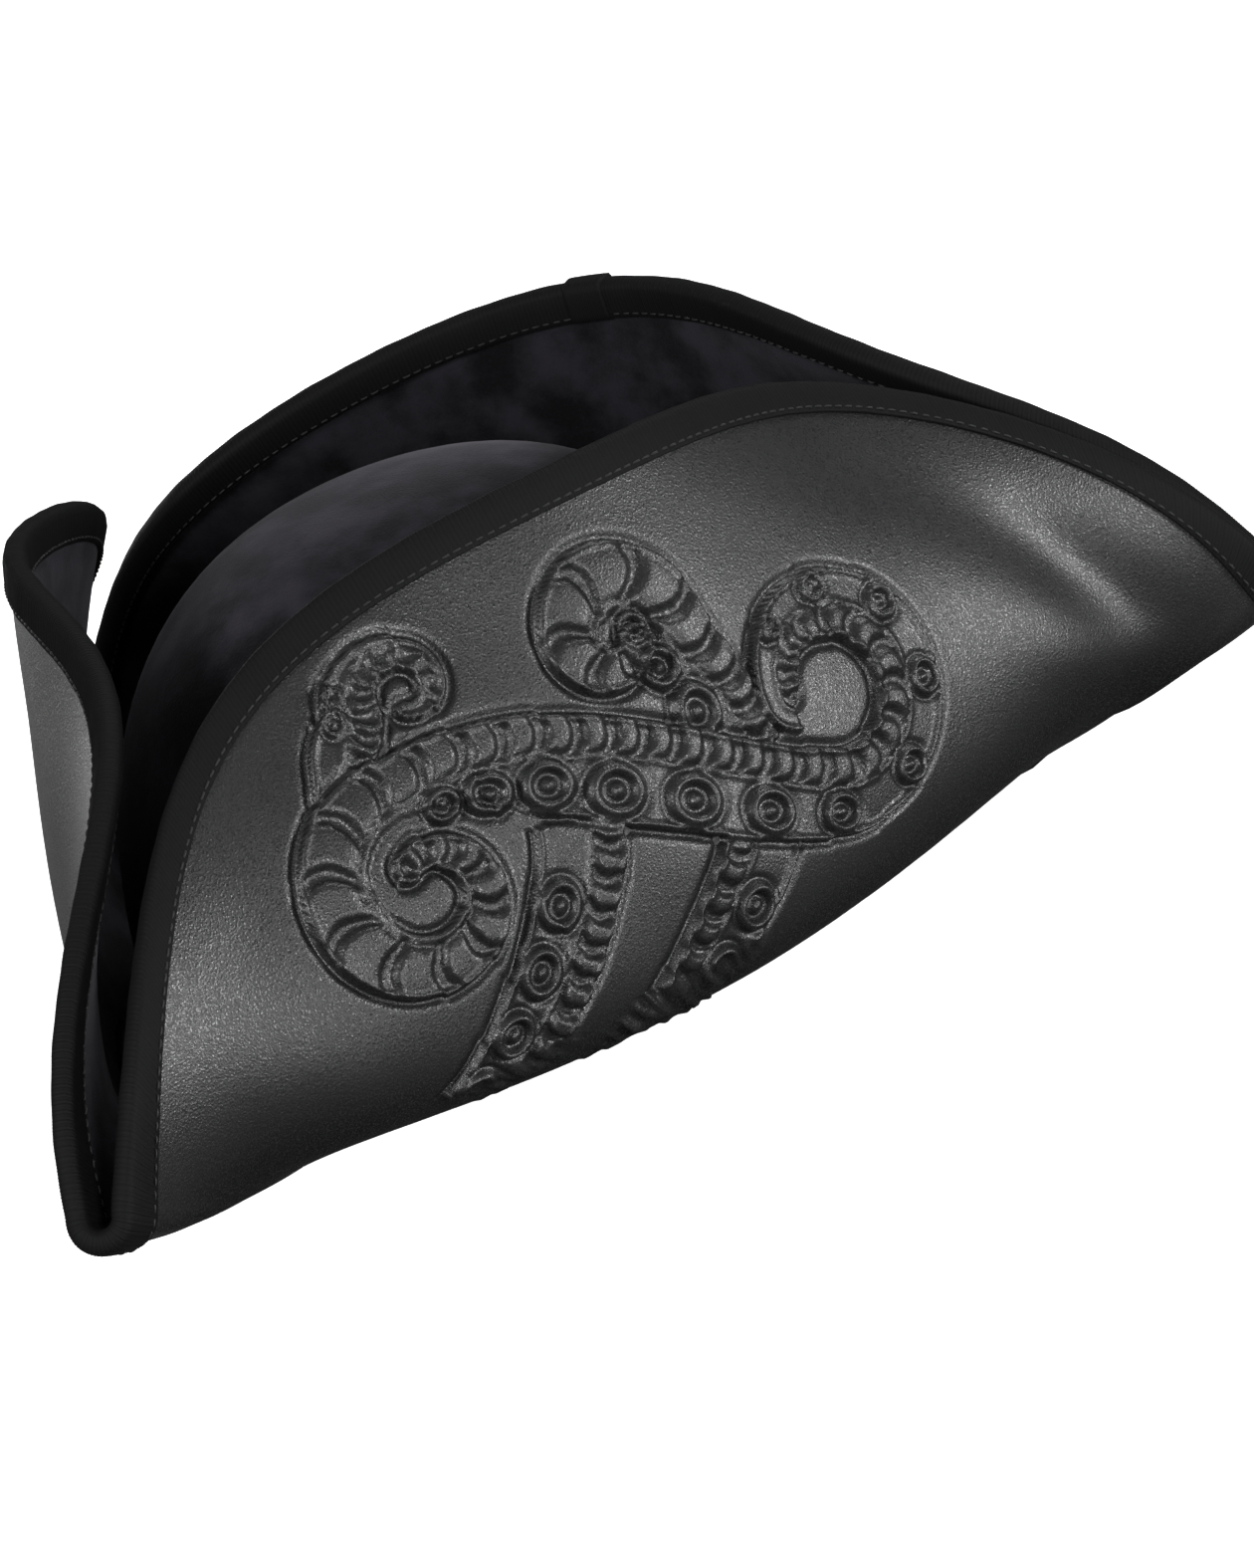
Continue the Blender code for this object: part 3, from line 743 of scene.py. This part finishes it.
def crown_face(inset, foot, rise=30, around=120):
    """Points over the crown's dome at this inset, from the foot to just under the top."""
    angle = np.linspace(0, 1, rise) ** 1.15 * pi / 2 * 0.985
    r = (CROWN_HALF_WIDTH - inset) * np.cos(angle) ** CROWN_ROUNDING
    z = np.maximum((CROWN_HEIGHT - inset) * np.sin(angle) ** CROWN_ROUNDING, foot)
    turn = 2 * pi * np.arange(around) / around
    wobble = 1 + 0.0022 * np.sin(3 * turn[:, None] + 0.7) * np.sin(angle * 2)[None, :]
    x = r[None, :] * np.cos(turn)[:, None] * wobble
    y = r[None, :] * np.sin(turn)[:, None] * LONG * wobble
    return np.stack([x, y, np.broadcast_to(z, x.shape)], -1)


# The cover's finish is the suede colour made lighter, which is painted light on the crown.
CROWN_LAYERS = (
    ("crown_suede", COVER, "Dome suede with painted light", "suede", "crown_cover"),
    ("crown_felt", STIFFENER, "Stiffener felt", "felt", "crown_stiffener"),
    ("crown_satin", LINING, "Lining satin", "lining_satin", "crown_lining"),
)


def crown_layer(name, outer, inner, material, slot, node):
    """One shell of the crown between two insets, closed over the top and turned in at the foot."""
    outside, inside = crown_face(outer, FOOT_LIFT), crown_face(inner, FOOT_LIFT)
    section = np.concatenate([inside[:, ::-1], outside], axis=1)
    around, width = section.shape[:2]
    tops = [(0.0, 0.0, CROWN_HEIGHT - inner), (0.0, 0.0, CROWN_HEIGHT - outer)]
    points = np.concatenate([section.reshape(-1, 3), tops])
    faces = grid_faces(around, width)
    first = around * width
    for i in range(around):
        k = (i + 1) % around
        faces.append((i * width, first, k * width))
        faces.append((i * width + width - 1, k * width + width - 1, first + 1))
    return new_piece(name, points, faces, material, slot, node)


def inner_radius(inset, z):
    """How far a face at this inset stands from the axis on the narrow side, low in the crown."""
    rise = (z / (CROWN_HEIGHT - inset)) ** (1 / CROWN_ROUNDING)
    return (CROWN_HALF_WIDTH - inset) * np.sqrt(1 - rise**2) ** CROWN_ROUNDING


def oval(radius, z, turn):
    """Points on the crown's oval at these angles, radius across its narrow side."""
    return np.stack([radius * np.cos(turn), radius * LONG * np.sin(turn), 0 * turn + z], 1)


def ring_of_stitches(name, radius, z, outward, pitch, material, node):
    """Stitches all round the crown's oval at one height, standing outward or inward."""
    count = round(2 * pi * radius * OVAL_ROUND / pitch)
    turn = 2 * pi * np.arange(count) / count
    starts = oval(radius, z, turn)
    ends = oval(radius, z, 2 * pi / count * RING_STITCH_SHARE + turn)
    proud = np.stack([np.cos(turn), np.sin(turn), 0 * turn + (0.8 if outward else 0.0)], 1)
    return stitches(name, starts, ends, proud * (1 if outward else -1), material, node)


def sweatband(material):
    """The cotton band inside the foot, with a rolled top edge and a slight wave from its stitches."""
    turn = 2 * pi * np.arange(BAND_AROUND) / BAND_AROUND
    rows = []
    for thick, share in BAND_OUTLINE:
        z = BAND_LIFT + BAND_HEIGHT * share
        wave = 0.00012 * np.sin(turn * 61) * (1 - share)
        rows.append(oval(inner_radius(BAND_FACE, z) - thick * BAND - wave, z, turn))
    points = np.stack(rows, axis=1).reshape(-1, 3)
    quads = grid_faces(BAND_AROUND, len(BAND_OUTLINE), closed_across=True)
    across = np.array([share for _, share in BAND_OUTLINE]) * BAND_HEIGHT
    along = (turn * CROWN_HALF_WIDTH)[:, None]
    uv = np.stack(np.broadcast_arrays(along, across[None, :]), -1).reshape(-1, 2)
    return new_piece("sweatband_tape", points, quads, material, "cotton_tape", "sweatband", uv=uv)


def back_bow(material):
    """The tiny ribbon bow at the back of the band: two flat loops and a wrapped knot."""
    low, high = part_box("sweatband_bow")
    middle = (low + high) / 2
    half, tall = (high.x - low.x) / 2, (high.z - low.z) / 2
    thick = (high.y - low.y) / 2
    points, faces = [], []
    rings, round_by = 13, 16
    for side in (-1, 1):
        faces += tube_faces(len(points), rings, round_by, end=-side)
        for share in np.linspace(0, 1, rings):
            reach = side * half * (0.06 + 0.94 * share)
            spread = tall * (0.30 + 0.70 * smooth_step(0, 0.8, share))
            puff = thick * (0.35 + 0.65 * sin(pi * min(share * 1.05, 1.0)))
            for k in range(round_by):
                angle = 2 * pi * k / round_by
                crease = 1 - 0.18 * cos(5 * angle) * (1 - share)
                points.append((reach, puff * sin(angle) * crease, spread * cos(angle) * crease))
    rings, round_by = 9, 12
    faces += tube_faces(len(points), rings, round_by)
    for share in np.linspace(-1, 1, rings):
        for k in range(round_by):
            angle = 2 * pi * k / round_by
            wide = half * 0.14 * (1 - 0.2 * share * share)
            points.append((wide * cos(angle), thick * 1.05 * sin(angle), tall * 0.55 * share))
    centre = np.array(middle) - SHIFT
    return new_piece("band_bow", np.array(points) + centre, faces, material, "grosgrain", "sweatband_bow")


def blank_label(material):
    """A blank woven label with folded ends, sewn flat to the band."""
    low, high = (np.array(corner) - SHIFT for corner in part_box("size_label"))
    across, tall = 15, 11
    rows = []
    for face_x in (low[0], high[0]):
        y = np.linspace(low[1], high[1], across)
        z = np.linspace(low[2], high[2], tall)
        yy, zz = np.meshgrid(y, z, indexing="ij")
        near_end = smooth_step(0.0, 0.0016, np.minimum(yy - low[1], high[1] - yy))
        puff = 0.00012 * (1 - near_end)
        sign = -1 if face_x == low[0] else 1
        rows.append(np.stack([face_x + 0 * yy + sign * puff, yy, zz], -1).reshape(-1, 3))
    points = np.concatenate(rows)
    other = across * tall
    faces = [face[::-1] for face in grid_faces(across, tall, closed_round=False)]
    faces += grid_faces(across, tall, closed_round=False, offset=other)
    ring = list(range(tall)) + [i * tall + tall - 1 for i in range(1, across)]
    ring += [(across - 1) * tall + j for j in range(tall - 2, -1, -1)]
    ring += [i * tall for i in range(across - 2, 0, -1)]
    for a, b in zip(ring, ring[1:] + ring[:1]):
        faces.append((a, b, other + b, other + a))
    place = {"slot": "woven_label", "node": "size_label", "smooth": False, "uv": points[:, 1:]}
    return new_piece("blank_label", points, faces, material, **place)


# ---------------------------------------------------------------- shader groups and finishes


def new_group(name, inputs, outputs):
    """A shader group with these named sockets, and its input and output nodes."""
    tree = bpy.data.node_groups.new(name, "ShaderNodeTree")
    for label, value in inputs:
        made = tree.interface.new_socket(name=label, in_out="INPUT", socket_type="NodeSocketFloat")
        made.default_value = value
    for label in outputs:
        tree.interface.new_socket(name=label, in_out="OUTPUT", socket_type="NodeSocketFloat")
    return tree, tree.nodes.new("NodeGroupInput"), tree.nodes.new("NodeGroupOutput")


def math_node(tree, operation, first, second=None):
    node = tree.nodes.new("ShaderNodeMath")
    node.operation = operation
    for place, value in zip(node.inputs, (first, second)):
        if value is None:
            continue
        if isinstance(value, (int, float)):
            place.default_value = value
        else:
            tree.links.new(value, place)
    return node.outputs[0]


def noise_node(tree, scale, detail, rough=0.5):
    place = tree.nodes.new("ShaderNodeTexCoord").outputs["Object"]
    node = tree.nodes.new("ShaderNodeTexNoise")
    tree.links.new(place, node.inputs["Vector"])
    node.inputs["Detail"].default_value = detail
    node.inputs["Roughness"].default_value = rough
    if isinstance(scale, (int, float)):
        node.inputs["Scale"].default_value = scale
    else:
        tree.links.new(scale, node.inputs["Scale"])
    return node.outputs["Fac"]


def ramp_node(tree, value, low, high):
    node = tree.nodes.new("ShaderNodeMapRange")
    node.interpolation_type = "SMOOTHSTEP"
    tree.links.new(value, node.inputs["Value"])
    node.inputs["From Min"].default_value = low
    node.inputs["From Max"].default_value = high
    return node.outputs["Result"]


def make_groups():
    """The effects that more than one finish uses."""
    inputs = [("Scale", 1800.0), ("Cell Scale", 900.0)]
    tree, given, made = new_group("Fine Grain", inputs, ["Height", "Fleck"])
    fine = noise_node(tree, given.outputs["Scale"], 3.0, 0.6)
    place = tree.nodes.new("ShaderNodeTexCoord").outputs["Object"]
    cells = tree.nodes.new("ShaderNodeTexVoronoi")
    tree.links.new(place, cells.inputs["Vector"])
    tree.links.new(given.outputs["Cell Scale"], cells.inputs["Scale"])
    mixed = math_node(tree, "MULTIPLY", cells.outputs["Distance"], 0.6)
    tree.links.new(math_node(tree, "ADD", mixed, fine), made.inputs["Height"])
    tree.links.new(ramp_node(tree, fine, 0.44, 0.66), made.inputs["Fleck"])

    inputs = [("Patch Scale", 30.0), ("Fibre Scale", 1500.0)]
    tree, given, made = new_group("Soft Nap", inputs, ["Shade", "Height"])
    patch = noise_node(tree, given.outputs["Patch Scale"], 3.0, 0.55)
    fibre = noise_node(tree, given.outputs["Fibre Scale"], 2.0, 0.7)
    shade = ramp_node(tree, patch, 0.34, 0.70)
    flecks = math_node(tree, "MULTIPLY", math_node(tree, "SUBTRACT", fibre, 0.5), 0.7)
    tree.links.new(math_node(tree, "ADD", shade, flecks), made.inputs["Shade"])
    tree.links.new(fibre, made.inputs["Height"])

    inputs = [("Across Scale", 1400.0), ("Slant", 1.0)]
    tree, given, made = new_group("Cloth Weave", inputs, ["Height", "Shade"])
    sides = tree.nodes.new("ShaderNodeSeparateXYZ")
    tree.links.new(tree.nodes.new("ShaderNodeTexCoord").outputs["UV"], sides.inputs[0])
    slanted = math_node(tree, "MULTIPLY", sides.outputs["Y"], given.outputs["Slant"])
    along = math_node(tree, "ADD", sides.outputs["X"], slanted)
    wave = math_node(tree, "SINE", math_node(tree, "MULTIPLY", along, given.outputs["Across Scale"]))
    fuzz = noise_node(tree, 2200.0, 2.0)
    half_wave = math_node(tree, "MULTIPLY", wave, 0.5)
    tree.links.new(math_node(tree, "ADD", half_wave, fuzz), made.inputs["Height"])
    # The colour follows the same wave as the height. It gives the woven stripes, with painted shade in the
    # grooves and painted light on the ribs.
    tree.links.new(ramp_node(tree, wave, -1.0, 1.0), made.inputs["Shade"])


def use_group(tree, name, **values):
    node = tree.nodes.new("ShaderNodeGroup")
    node.node_tree = bpy.data.node_groups[name]
    for label, value in values.items():
        node.inputs[label.replace("_", " ")].default_value = value
    return node


def tint(tree, shade, dark, light):
    """A colour between dark and light, by a value that varies over the surface."""
    node = tree.nodes.new("ShaderNodeMix")
    node.data_type = "RGBA"
    node.clamp_factor = True
    tree.links.new(shade, node.inputs["Factor"])
    node.inputs["A"].default_value = (*dark, 1.0)
    node.inputs["B"].default_value = (*light, 1.0)
    return node.outputs["Result"]


def bumped(tree, height, strength, distance):
    node = tree.nodes.new("ShaderNodeBump")
    node.inputs["Strength"].default_value = strength
    node.inputs["Distance"].default_value = distance
    tree.links.new(height, node.inputs["Height"])
    return node.outputs["Normal"]


def finish_of(name):
    return bpy.data.materials[name]


def finish_named(name, roughness, **fixed):
    """A new material with constant values set straight on its shader."""
    made = bpy.data.materials.new(name)
    made.use_nodes = True
    shader = made.node_tree.nodes["Principled BSDF"]
    shader.inputs["Roughness"].default_value = roughness
    for label, value in fixed.items():
        shader.inputs[label.replace("_", " ")].default_value = value
    return made, made.node_tree, shader


def shades(colour, factor):
    return tuple(min(channel * factor, 1.0) for channel in colour[:3])


def leather_finish(colour, grain):
    made, tree, shader = finish_named("Satin leather", 0.34, Specular_IOR_Level=0.50)
    fine = use_group(tree, "Fine Grain", Scale=1 / grain, Cell_Scale=0.8 / grain)
    wide = noise_node(tree, 34.0, 3.0)
    tree.links.new(
        tint(tree, fine.outputs["Fleck"], shades(colour, 0.25), shades(colour, 3.4)),
        shader.inputs["Base Color"],
    )
    lift = math_node(tree, "MULTIPLY", wide, 0.12)
    speck = math_node(tree, "MULTIPLY", fine.outputs["Fleck"], 0.30)
    rough = math_node(tree, "ADD", math_node(tree, "SUBTRACT", lift, speck), 0.40)
    tree.links.new(rough, shader.inputs["Roughness"])
    tree.links.new(bumped(tree, fine.outputs["Height"], 0.9, 0.00012), shader.inputs["Normal"])
    return made


def nap_finish(name, colour, sheen, patch=30.0):
    made, tree, shader = finish_named(
        name, 0.95, Specular_IOR_Level=0.12, Sheen_Weight=sheen, Sheen_Roughness=0.45
    )
    shader.inputs["Sheen Tint"].default_value = (0.80, 0.78, 0.88, 1.0)
    nap = use_group(tree, "Soft Nap", Patch_Scale=patch, Fibre_Scale=1300.0)
    tree.links.new(
        tint(tree, nap.outputs["Shade"], shades(colour, 0.35), shades(colour, 2.3)),
        shader.inputs["Base Color"],
    )
    tree.links.new(bumped(tree, nap.outputs["Height"], 0.55, 0.00030), shader.inputs["Normal"])
    return made


def cloth_finish(name, colour, roughness, across, slant, strength=0.5, sheen=0.05, spec=0.35):
    made, tree, shader = finish_named(
        name, roughness, Specular_IOR_Level=spec, Sheen_Weight=sheen, Sheen_Roughness=0.4
    )
    weave = use_group(tree, "Cloth Weave", Across_Scale=across, Slant=slant)
    worn = noise_node(tree, 60.0, 4.0)
    # The weave's stripes carry painted shade in their grooves; the worn noise is a random tone.
    woven = math_node(tree, "MULTIPLY", weave.outputs["Shade"], 0.55)
    shade = math_node(tree, "ADD", woven, math_node(tree, "MULTIPLY", worn, 0.6))
    mixed = tint(tree, shade, shades(colour, 0.55), shades(colour, 1.35))
    tree.links.new(mixed, shader.inputs["Base Color"])
    tree.links.new(bumped(tree, weave.outputs["Height"], strength, 0.00012), shader.inputs["Normal"])
    return made


def foam_finish():
    made, tree, shader = finish_named("Moulding foam", 0.92, Specular_IOR_Level=0.2)
    fine = use_group(tree, "Fine Grain", Scale=1200.0, Cell_Scale=1500.0)
    mixed = tint(tree, fine.outputs["Fleck"], (0.045,) * 3, (0.085,) * 3)
    tree.links.new(mixed, shader.inputs["Base Color"])
    tree.links.new(bumped(tree, fine.outputs["Height"], 0.6, 0.0003), shader.inputs["Normal"])
    return made


# ---------------------------------------------------------------- settings


class HatSizes(bpy.types.PropertyGroup):
    """Sizes of the hat's fine detail."""

    relief: bpy.props.FloatProperty(
        name="Relief", description="How strongly the ornament stands out, 1 as moulded",
        default=1.0, min=0.0, max=1.5,
    )
    rib_pitch: bpy.props.FloatProperty(
        name="Rib pitch", description="Distance between the ribbon's cross ribs",
        default=0.00076, min=0.0006, unit="LENGTH", subtype="DISTANCE", precision=5,
    )
    rib_depth: bpy.props.FloatProperty(
        name="Rib depth", description="Height of the ribbon's cross ribs",
        default=0.00016, unit="LENGTH", subtype="DISTANCE", precision=5,
    )
    stitch_pitch: bpy.props.FloatProperty(
        name="Stitch pitch", description="Distance between stitches",
        default=0.0031, unit="LENGTH", subtype="DISTANCE", precision=5,
    )
    grain: bpy.props.FloatProperty(
        name="Grain", description="Size of the leather's grain",
        default=0.00052, unit="LENGTH", subtype="DISTANCE", precision=5,
    )


class HatColours(bpy.types.PropertyGroup):
    """Colours of the hat's materials and of the studio."""

    leather: bpy.props.FloatVectorProperty(
        name="Leather", description="Colour of the outer face",
        subtype="COLOR", default=(0.0040, 0.0040, 0.0043),
    )
    suede: bpy.props.FloatVectorProperty(
        name="Suede", description="Colour of the inner face and the crown",
        subtype="COLOR", default=(0.0075, 0.0070, 0.0090),
    )
    ribbon: bpy.props.FloatVectorProperty(
        name="Ribbon", description="Colour of the edge binding",
        subtype="COLOR", default=(0.0030, 0.0030, 0.0032),
    )
    thread: bpy.props.FloatVectorProperty(
        name="Thread", description="Colour of the stitches",
        subtype="COLOR", default=(0.006, 0.006, 0.0065),
    )
    floor: bpy.props.FloatVectorProperty(
        name="Floor", description="Colour of the studio floor",
        subtype="COLOR", default=(0.90, 0.90, 0.90),
    )


class StudioLights(bpy.types.PropertyGroup):
    """Strengths of the studio lights."""

    key: bpy.props.FloatProperty(
        name="Key", description="Power of the large key light",
        default=21.0, unit="POWER",
    )
    low: bpy.props.FloatProperty(
        name="Low side", description="Power of the low light at the front",
        default=20.0, unit="POWER",
    )
    far: bpy.props.FloatProperty(
        name="Far side", description="Power of the light past the left rear corner",
        default=9.0, unit="POWER",
    )
    fill: bpy.props.FloatProperty(
        name="Fill", description="Power of the light on the right panel",
        default=22.0, unit="POWER",
    )
    rear: bpy.props.FloatProperty(
        name="Rear side", description="Power of the light past the right rear corner",
        default=5.0, unit="POWER",
    )
    overhead: bpy.props.FloatProperty(
        name="Overhead", description="Power of the wide light above",
        default=34.0, unit="POWER",
    )
    bounce: bpy.props.FloatProperty(
        name="Bounce", description="How much light the floor throws back on the hat",
        default=0.16, min=0.0,
    )
    sky: bpy.props.FloatProperty(
        name="Sky", description="Brightness of the pale surroundings",
        default=0.06, min=0.0,
    )


# ---------------------------------------------------------------- operators


class HAT_OT_finishes(bpy.types.Operator):
    """Make the shader groups and every finish"""

    bl_idname = "tricorne.finishes"
    bl_label = "Finishes"

    def execute(self, context):
        colours, sizes = context.scene.tricorne_colours, context.scene.tricorne_sizes
        make_groups()
        leather_finish(colours.leather, sizes.grain)
        nap_finish("Brim suede", colours.suede, 0.06, 55.0)
        # The dome's suede is the brim's suede colour made 1.25 times lighter. That is painted light: the
        # crown's top stands in the light while the inner face lies in shade.
        nap_finish("Dome suede with painted light", shades(colours.suede, 1.25), 0.07, 48.0)
        nap_finish("Stiffener felt", (0.05, 0.048, 0.045), 0.05, 60.0)
        cloth_finish("Grosgrain", colours.ribbon, 0.66, 5200.0, 0.0, 0.35, sheen=0.005, spec=0.10)
        cloth_finish("Sewing thread", colours.thread, 0.55, 2600.0, 1.0, 0.3)
        cloth_finish("Cotton twill", (0.017, 0.017, 0.018), 0.85, 3600.0, 1.0, 0.7)
        cloth_finish("Lining satin", (0.020, 0.020, 0.022), 0.38, 5200.0, 0.3, 0.15, spec=0.5)
        cloth_finish("Woven label", (0.52, 0.50, 0.45), 0.80, 6200.0, 0.0, 0.6)
        foam_finish()
        return {"FINISHED"}


class HAT_OT_leather(bpy.types.Operator):
    """Mould the leather facing with its ornament"""

    bl_idname = "tricorne.leather"
    bl_label = "Leather facing"

    def execute(self, context):
        leather_facing(finish_of("Satin leather"), context.scene.tricorne_sizes.relief)
        return {"FINISHED"}


class HAT_OT_inner_layers(bpy.types.Operator):
    """Lay the foam core and the suede facing inside the leather"""

    bl_idname = "tricorne.inner_layers"
    bl_label = "Foam and suede"

    def execute(self, context):
        low = LEATHER + GAP
        layer_of("foam_core", low, low + FOAM, finish_of("Moulding foam"), "foam", "brim_foam_core", GAP)
        low += FOAM + GAP
        layer_of("suede_facing", low, low + SUEDE, finish_of("Brim suede"), "suede", "brim_suede_facing")
        return {"FINISHED"}


class HAT_OT_binding(bpy.types.Operator):
    """Fold the ribbed ribbon over the brim's edge and lap its end"""

    bl_idname = "tricorne.binding"
    bl_label = "Edge binding"

    def execute(self, context):
        sizes = context.scene.tricorne_sizes
        ribbon = finish_of("Grosgrain")
        edge_binding(ribbon, sizes.rib_pitch, sizes.rib_depth)
        binding_lap(ribbon, sizes.rib_pitch, sizes.rib_depth)
        return {"FINISHED"}


class HAT_OT_stitching(bpy.types.Operator):
    """Sew the binding, the crown's seam and the band"""

    bl_idname = "tricorne.stitching"
    bl_label = "Stitching"

    def execute(self, context):
        thread = finish_of("Sewing thread")
        pitch = context.scene.tricorne_sizes.stitch_pitch
        binding_stitches("outer_binding_stitches", -1, thread, "binding_outer_thread", pitch)
        binding_stitches("inner_binding_stitches", 1, thread, "binding_inner_thread", pitch)
        foot = CROWN_HALF_WIDTH + CROWN_CLEARANCE / 2 + THREAD_RADIUS
        ring_of_stitches("crown_seam_stitches", foot, BRIM + GAP, True, pitch, thread, "crown_seam_thread")
        height = BAND_LIFT + STITCH_INSET
        inside = inner_radius(BAND_FACE, height) - 1.05 * BAND - THREAD_RADIUS
        ring_of_stitches("band_stitches", inside, height, False, pitch, thread, "sweatband_thread")
        return {"FINISHED"}


class HAT_OT_crown(bpy.types.Operator):
    """Shape the crown's cover, stiffener and lining"""

    bl_idname = "tricorne.crown"
    bl_label = "Dome"

    def execute(self, context):
        inset = 0.0
        for name, thick, finish, slot, node in CROWN_LAYERS:
            crown_layer(name, inset, inset + thick, finish_of(finish), slot, node)
            inset += thick + GAP
        return {"FINISHED"}


class HAT_OT_band(bpy.types.Operator):
    """Fit the sweatband, its bow and the blank label"""

    bl_idname = "tricorne.band"
    bl_label = "Band, bow and label"

    def execute(self, context):
        sweatband(finish_of("Cotton twill"))
        back_bow(finish_of("Grosgrain"))
        blank_label(finish_of("Woven label"))
        return {"FINISHED"}


def set_camera():
    """The camera, rolled so that the hat hangs tilted in the view."""
    data = bpy.data.cameras.new("Studio camera")
    data.lens = CAMERA_LENS
    data.sensor_width = 36.0
    data.clip_start, data.clip_end = 0.05, 50.0
    data.dof.use_dof = False
    camera = bpy.data.objects.new("Studio camera", data)
    bpy.context.scene.collection.objects.link(camera)
    azimuth, elevation, roll = CAMERA_AZIMUTH, CAMERA_ELEVATION, CAMERA_ROLL
    back = Vector((sin(azimuth) * cos(elevation), -cos(azimuth) * cos(elevation), sin(elevation)))
    right = Vector((cos(azimuth), sin(azimuth), 0.0))
    up = back.cross(right)
    level_right = right * cos(roll) - up * sin(roll)
    level_up = right * sin(roll) + up * cos(roll)
    middle = Vector((SHIFT[0], SHIFT[1], CAMERA_AIM_HEIGHT))
    place = middle + back * CAMERA_DISTANCE
    aim = middle + level_right * CAMERA_ASIDE[0] + level_up * CAMERA_ASIDE[1]
    back = (place - aim).normalized()
    level_right = (level_right - back * level_right.dot(back)).normalized()
    level_up = back.cross(level_right)
    turned = Matrix((level_right, level_up, back)).transposed().to_4x4()
    camera.matrix_world = Matrix.Translation(place) @ turned
    bpy.context.scene.camera = camera
    return camera


def area_light(name, place, aim, size, power, tall=None):
    data = bpy.data.lights.new(name, "AREA")
    data.shape = "RECTANGLE"
    data.size, data.size_y = size, tall or size
    data.energy = power
    light = bpy.data.objects.new(name, data)
    light.location = place
    light.rotation_euler = (Vector(aim) - Vector(place)).to_track_quat("-Z", "Y").to_euler()
    bpy.context.scene.collection.objects.link(light)
    return light


class HAT_OT_studio(bpy.types.Operator):
    """Set the pale floor, the soft lights, the surroundings and the camera"""

    bl_idname = "tricorne.studio"
    bl_label = "Studio"

    def execute(self, context):
        lights, colours = context.scene.tricorne_lights, context.scene.tricorne_colours
        made, tree, shader = finish_named("Studio floor", 0.9, Specular_IOR_Level=0.1)
        seen = tree.nodes.new("ShaderNodeLightPath").outputs["Is Camera Ray"]
        pale = tint(tree, seen, (lights.bounce,) * 3, colours.floor[:3])
        tree.links.new(pale, shader.inputs["Base Color"])
        tree.links.new(tint(tree, seen, (0.0,) * 3, (1.0,) * 3), shader.inputs["Emission Color"])
        shader.inputs["Emission Strength"].default_value = 1.0
        mesh = bpy.data.meshes.new("studio_floor")
        corners = [(x * FLOOR_REACH, y * FLOOR_REACH, 0) for x, y in ((-1, -1), (1, -1), (1, 1), (-1, 1))]
        mesh.from_pydata(corners, [], [(0, 1, 2, 3)])
        mesh.materials.append(made)
        floor = bpy.data.objects.new("studio_floor", mesh)
        context.scene.collection.objects.link(floor)
        world = bpy.data.worlds.new("Pale surroundings")
        world.use_nodes = True
        tree = world.node_tree
        seen = tree.nodes.new("ShaderNodeLightPath").outputs["Is Camera Ray"]
        pale = tint(tree, seen, (lights.sky,) * 3, (1.0, 1.0, 1.0))
        tree.links.new(pale, tree.nodes["Background"].inputs["Color"])
        context.scene.world = world
        context.scene.view_settings.view_transform = "Standard"
        aim = (SHIFT[0], SHIFT[1], LIGHT_AIM_HEIGHT)
        area_light("Key light", (1.6, 0.2, 0.2), aim, 0.5, lights.key)
        area_light("Low side light", (1.15, -1.15, 0.30), aim, 0.35, lights.low, tall=0.5)
        area_light("Far side light", (0.6, 1.0, 1.4), aim, 0.5, lights.far)
        area_light("Front light", (-0.6, -1.4, 0.9), aim, 0.5, lights.fill)
        area_light("Rear side light", (-1.35, 0.9, 0.30), aim, 0.6, lights.rear)
        area_light("Overhead light", (0.0, 0.4, 2.6), (0.0, 0.4, 0.0), 5.0, lights.overhead)
        set_camera()
        return {"FINISHED"}


class HAT_PT_panel(bpy.types.Panel):
    """Everything that builds the hat"""

    bl_idname = "HAT_PT_panel"
    bl_label = "Tricorne"
    bl_space_type = "VIEW_3D"
    bl_region_type = "UI"
    bl_category = "Tricorne"

    def draw(self, context):
        layout = self.layout
        for settings in SETTINGS:
            group = getattr(context.scene, settings)
            box = layout.box()
            for name in group.__annotations__:
                box.prop(group, name)
        for made in OPERATORS:
            layout.operator(made.bl_idname)


SETTINGS = {"tricorne_sizes": HatSizes, "tricorne_colours": HatColours, "tricorne_lights": StudioLights}
OPERATORS = (
    HAT_OT_finishes,
    HAT_OT_leather,
    HAT_OT_inner_layers,
    HAT_OT_binding,
    HAT_OT_stitching,
    HAT_OT_crown,
    HAT_OT_band,
    HAT_OT_studio,
)


def register():
    for made in (*SETTINGS.values(), *OPERATORS, HAT_PT_panel):
        bpy.utils.register_class(made)
    for name, made in SETTINGS.items():
        setattr(bpy.types.Scene, name, bpy.props.PointerProperty(type=made))


def unregister():
    for name in SETTINGS:
        delattr(bpy.types.Scene, name)
    for made in reversed((*SETTINGS.values(), *OPERATORS, HAT_PT_panel)):
        bpy.utils.unregister_class(made)


def main():
    register()
    bpy.ops.tricorne.finishes()
    bpy.ops.tricorne.leather()
    bpy.ops.tricorne.inner_layers()
    bpy.ops.tricorne.binding()
    bpy.ops.tricorne.stitching()
    bpy.ops.tricorne.crown()
    bpy.ops.tricorne.band()
    bpy.ops.tricorne.studio()
    bpy.context.view_layer.update()


if __name__ == "__main__":
    main()
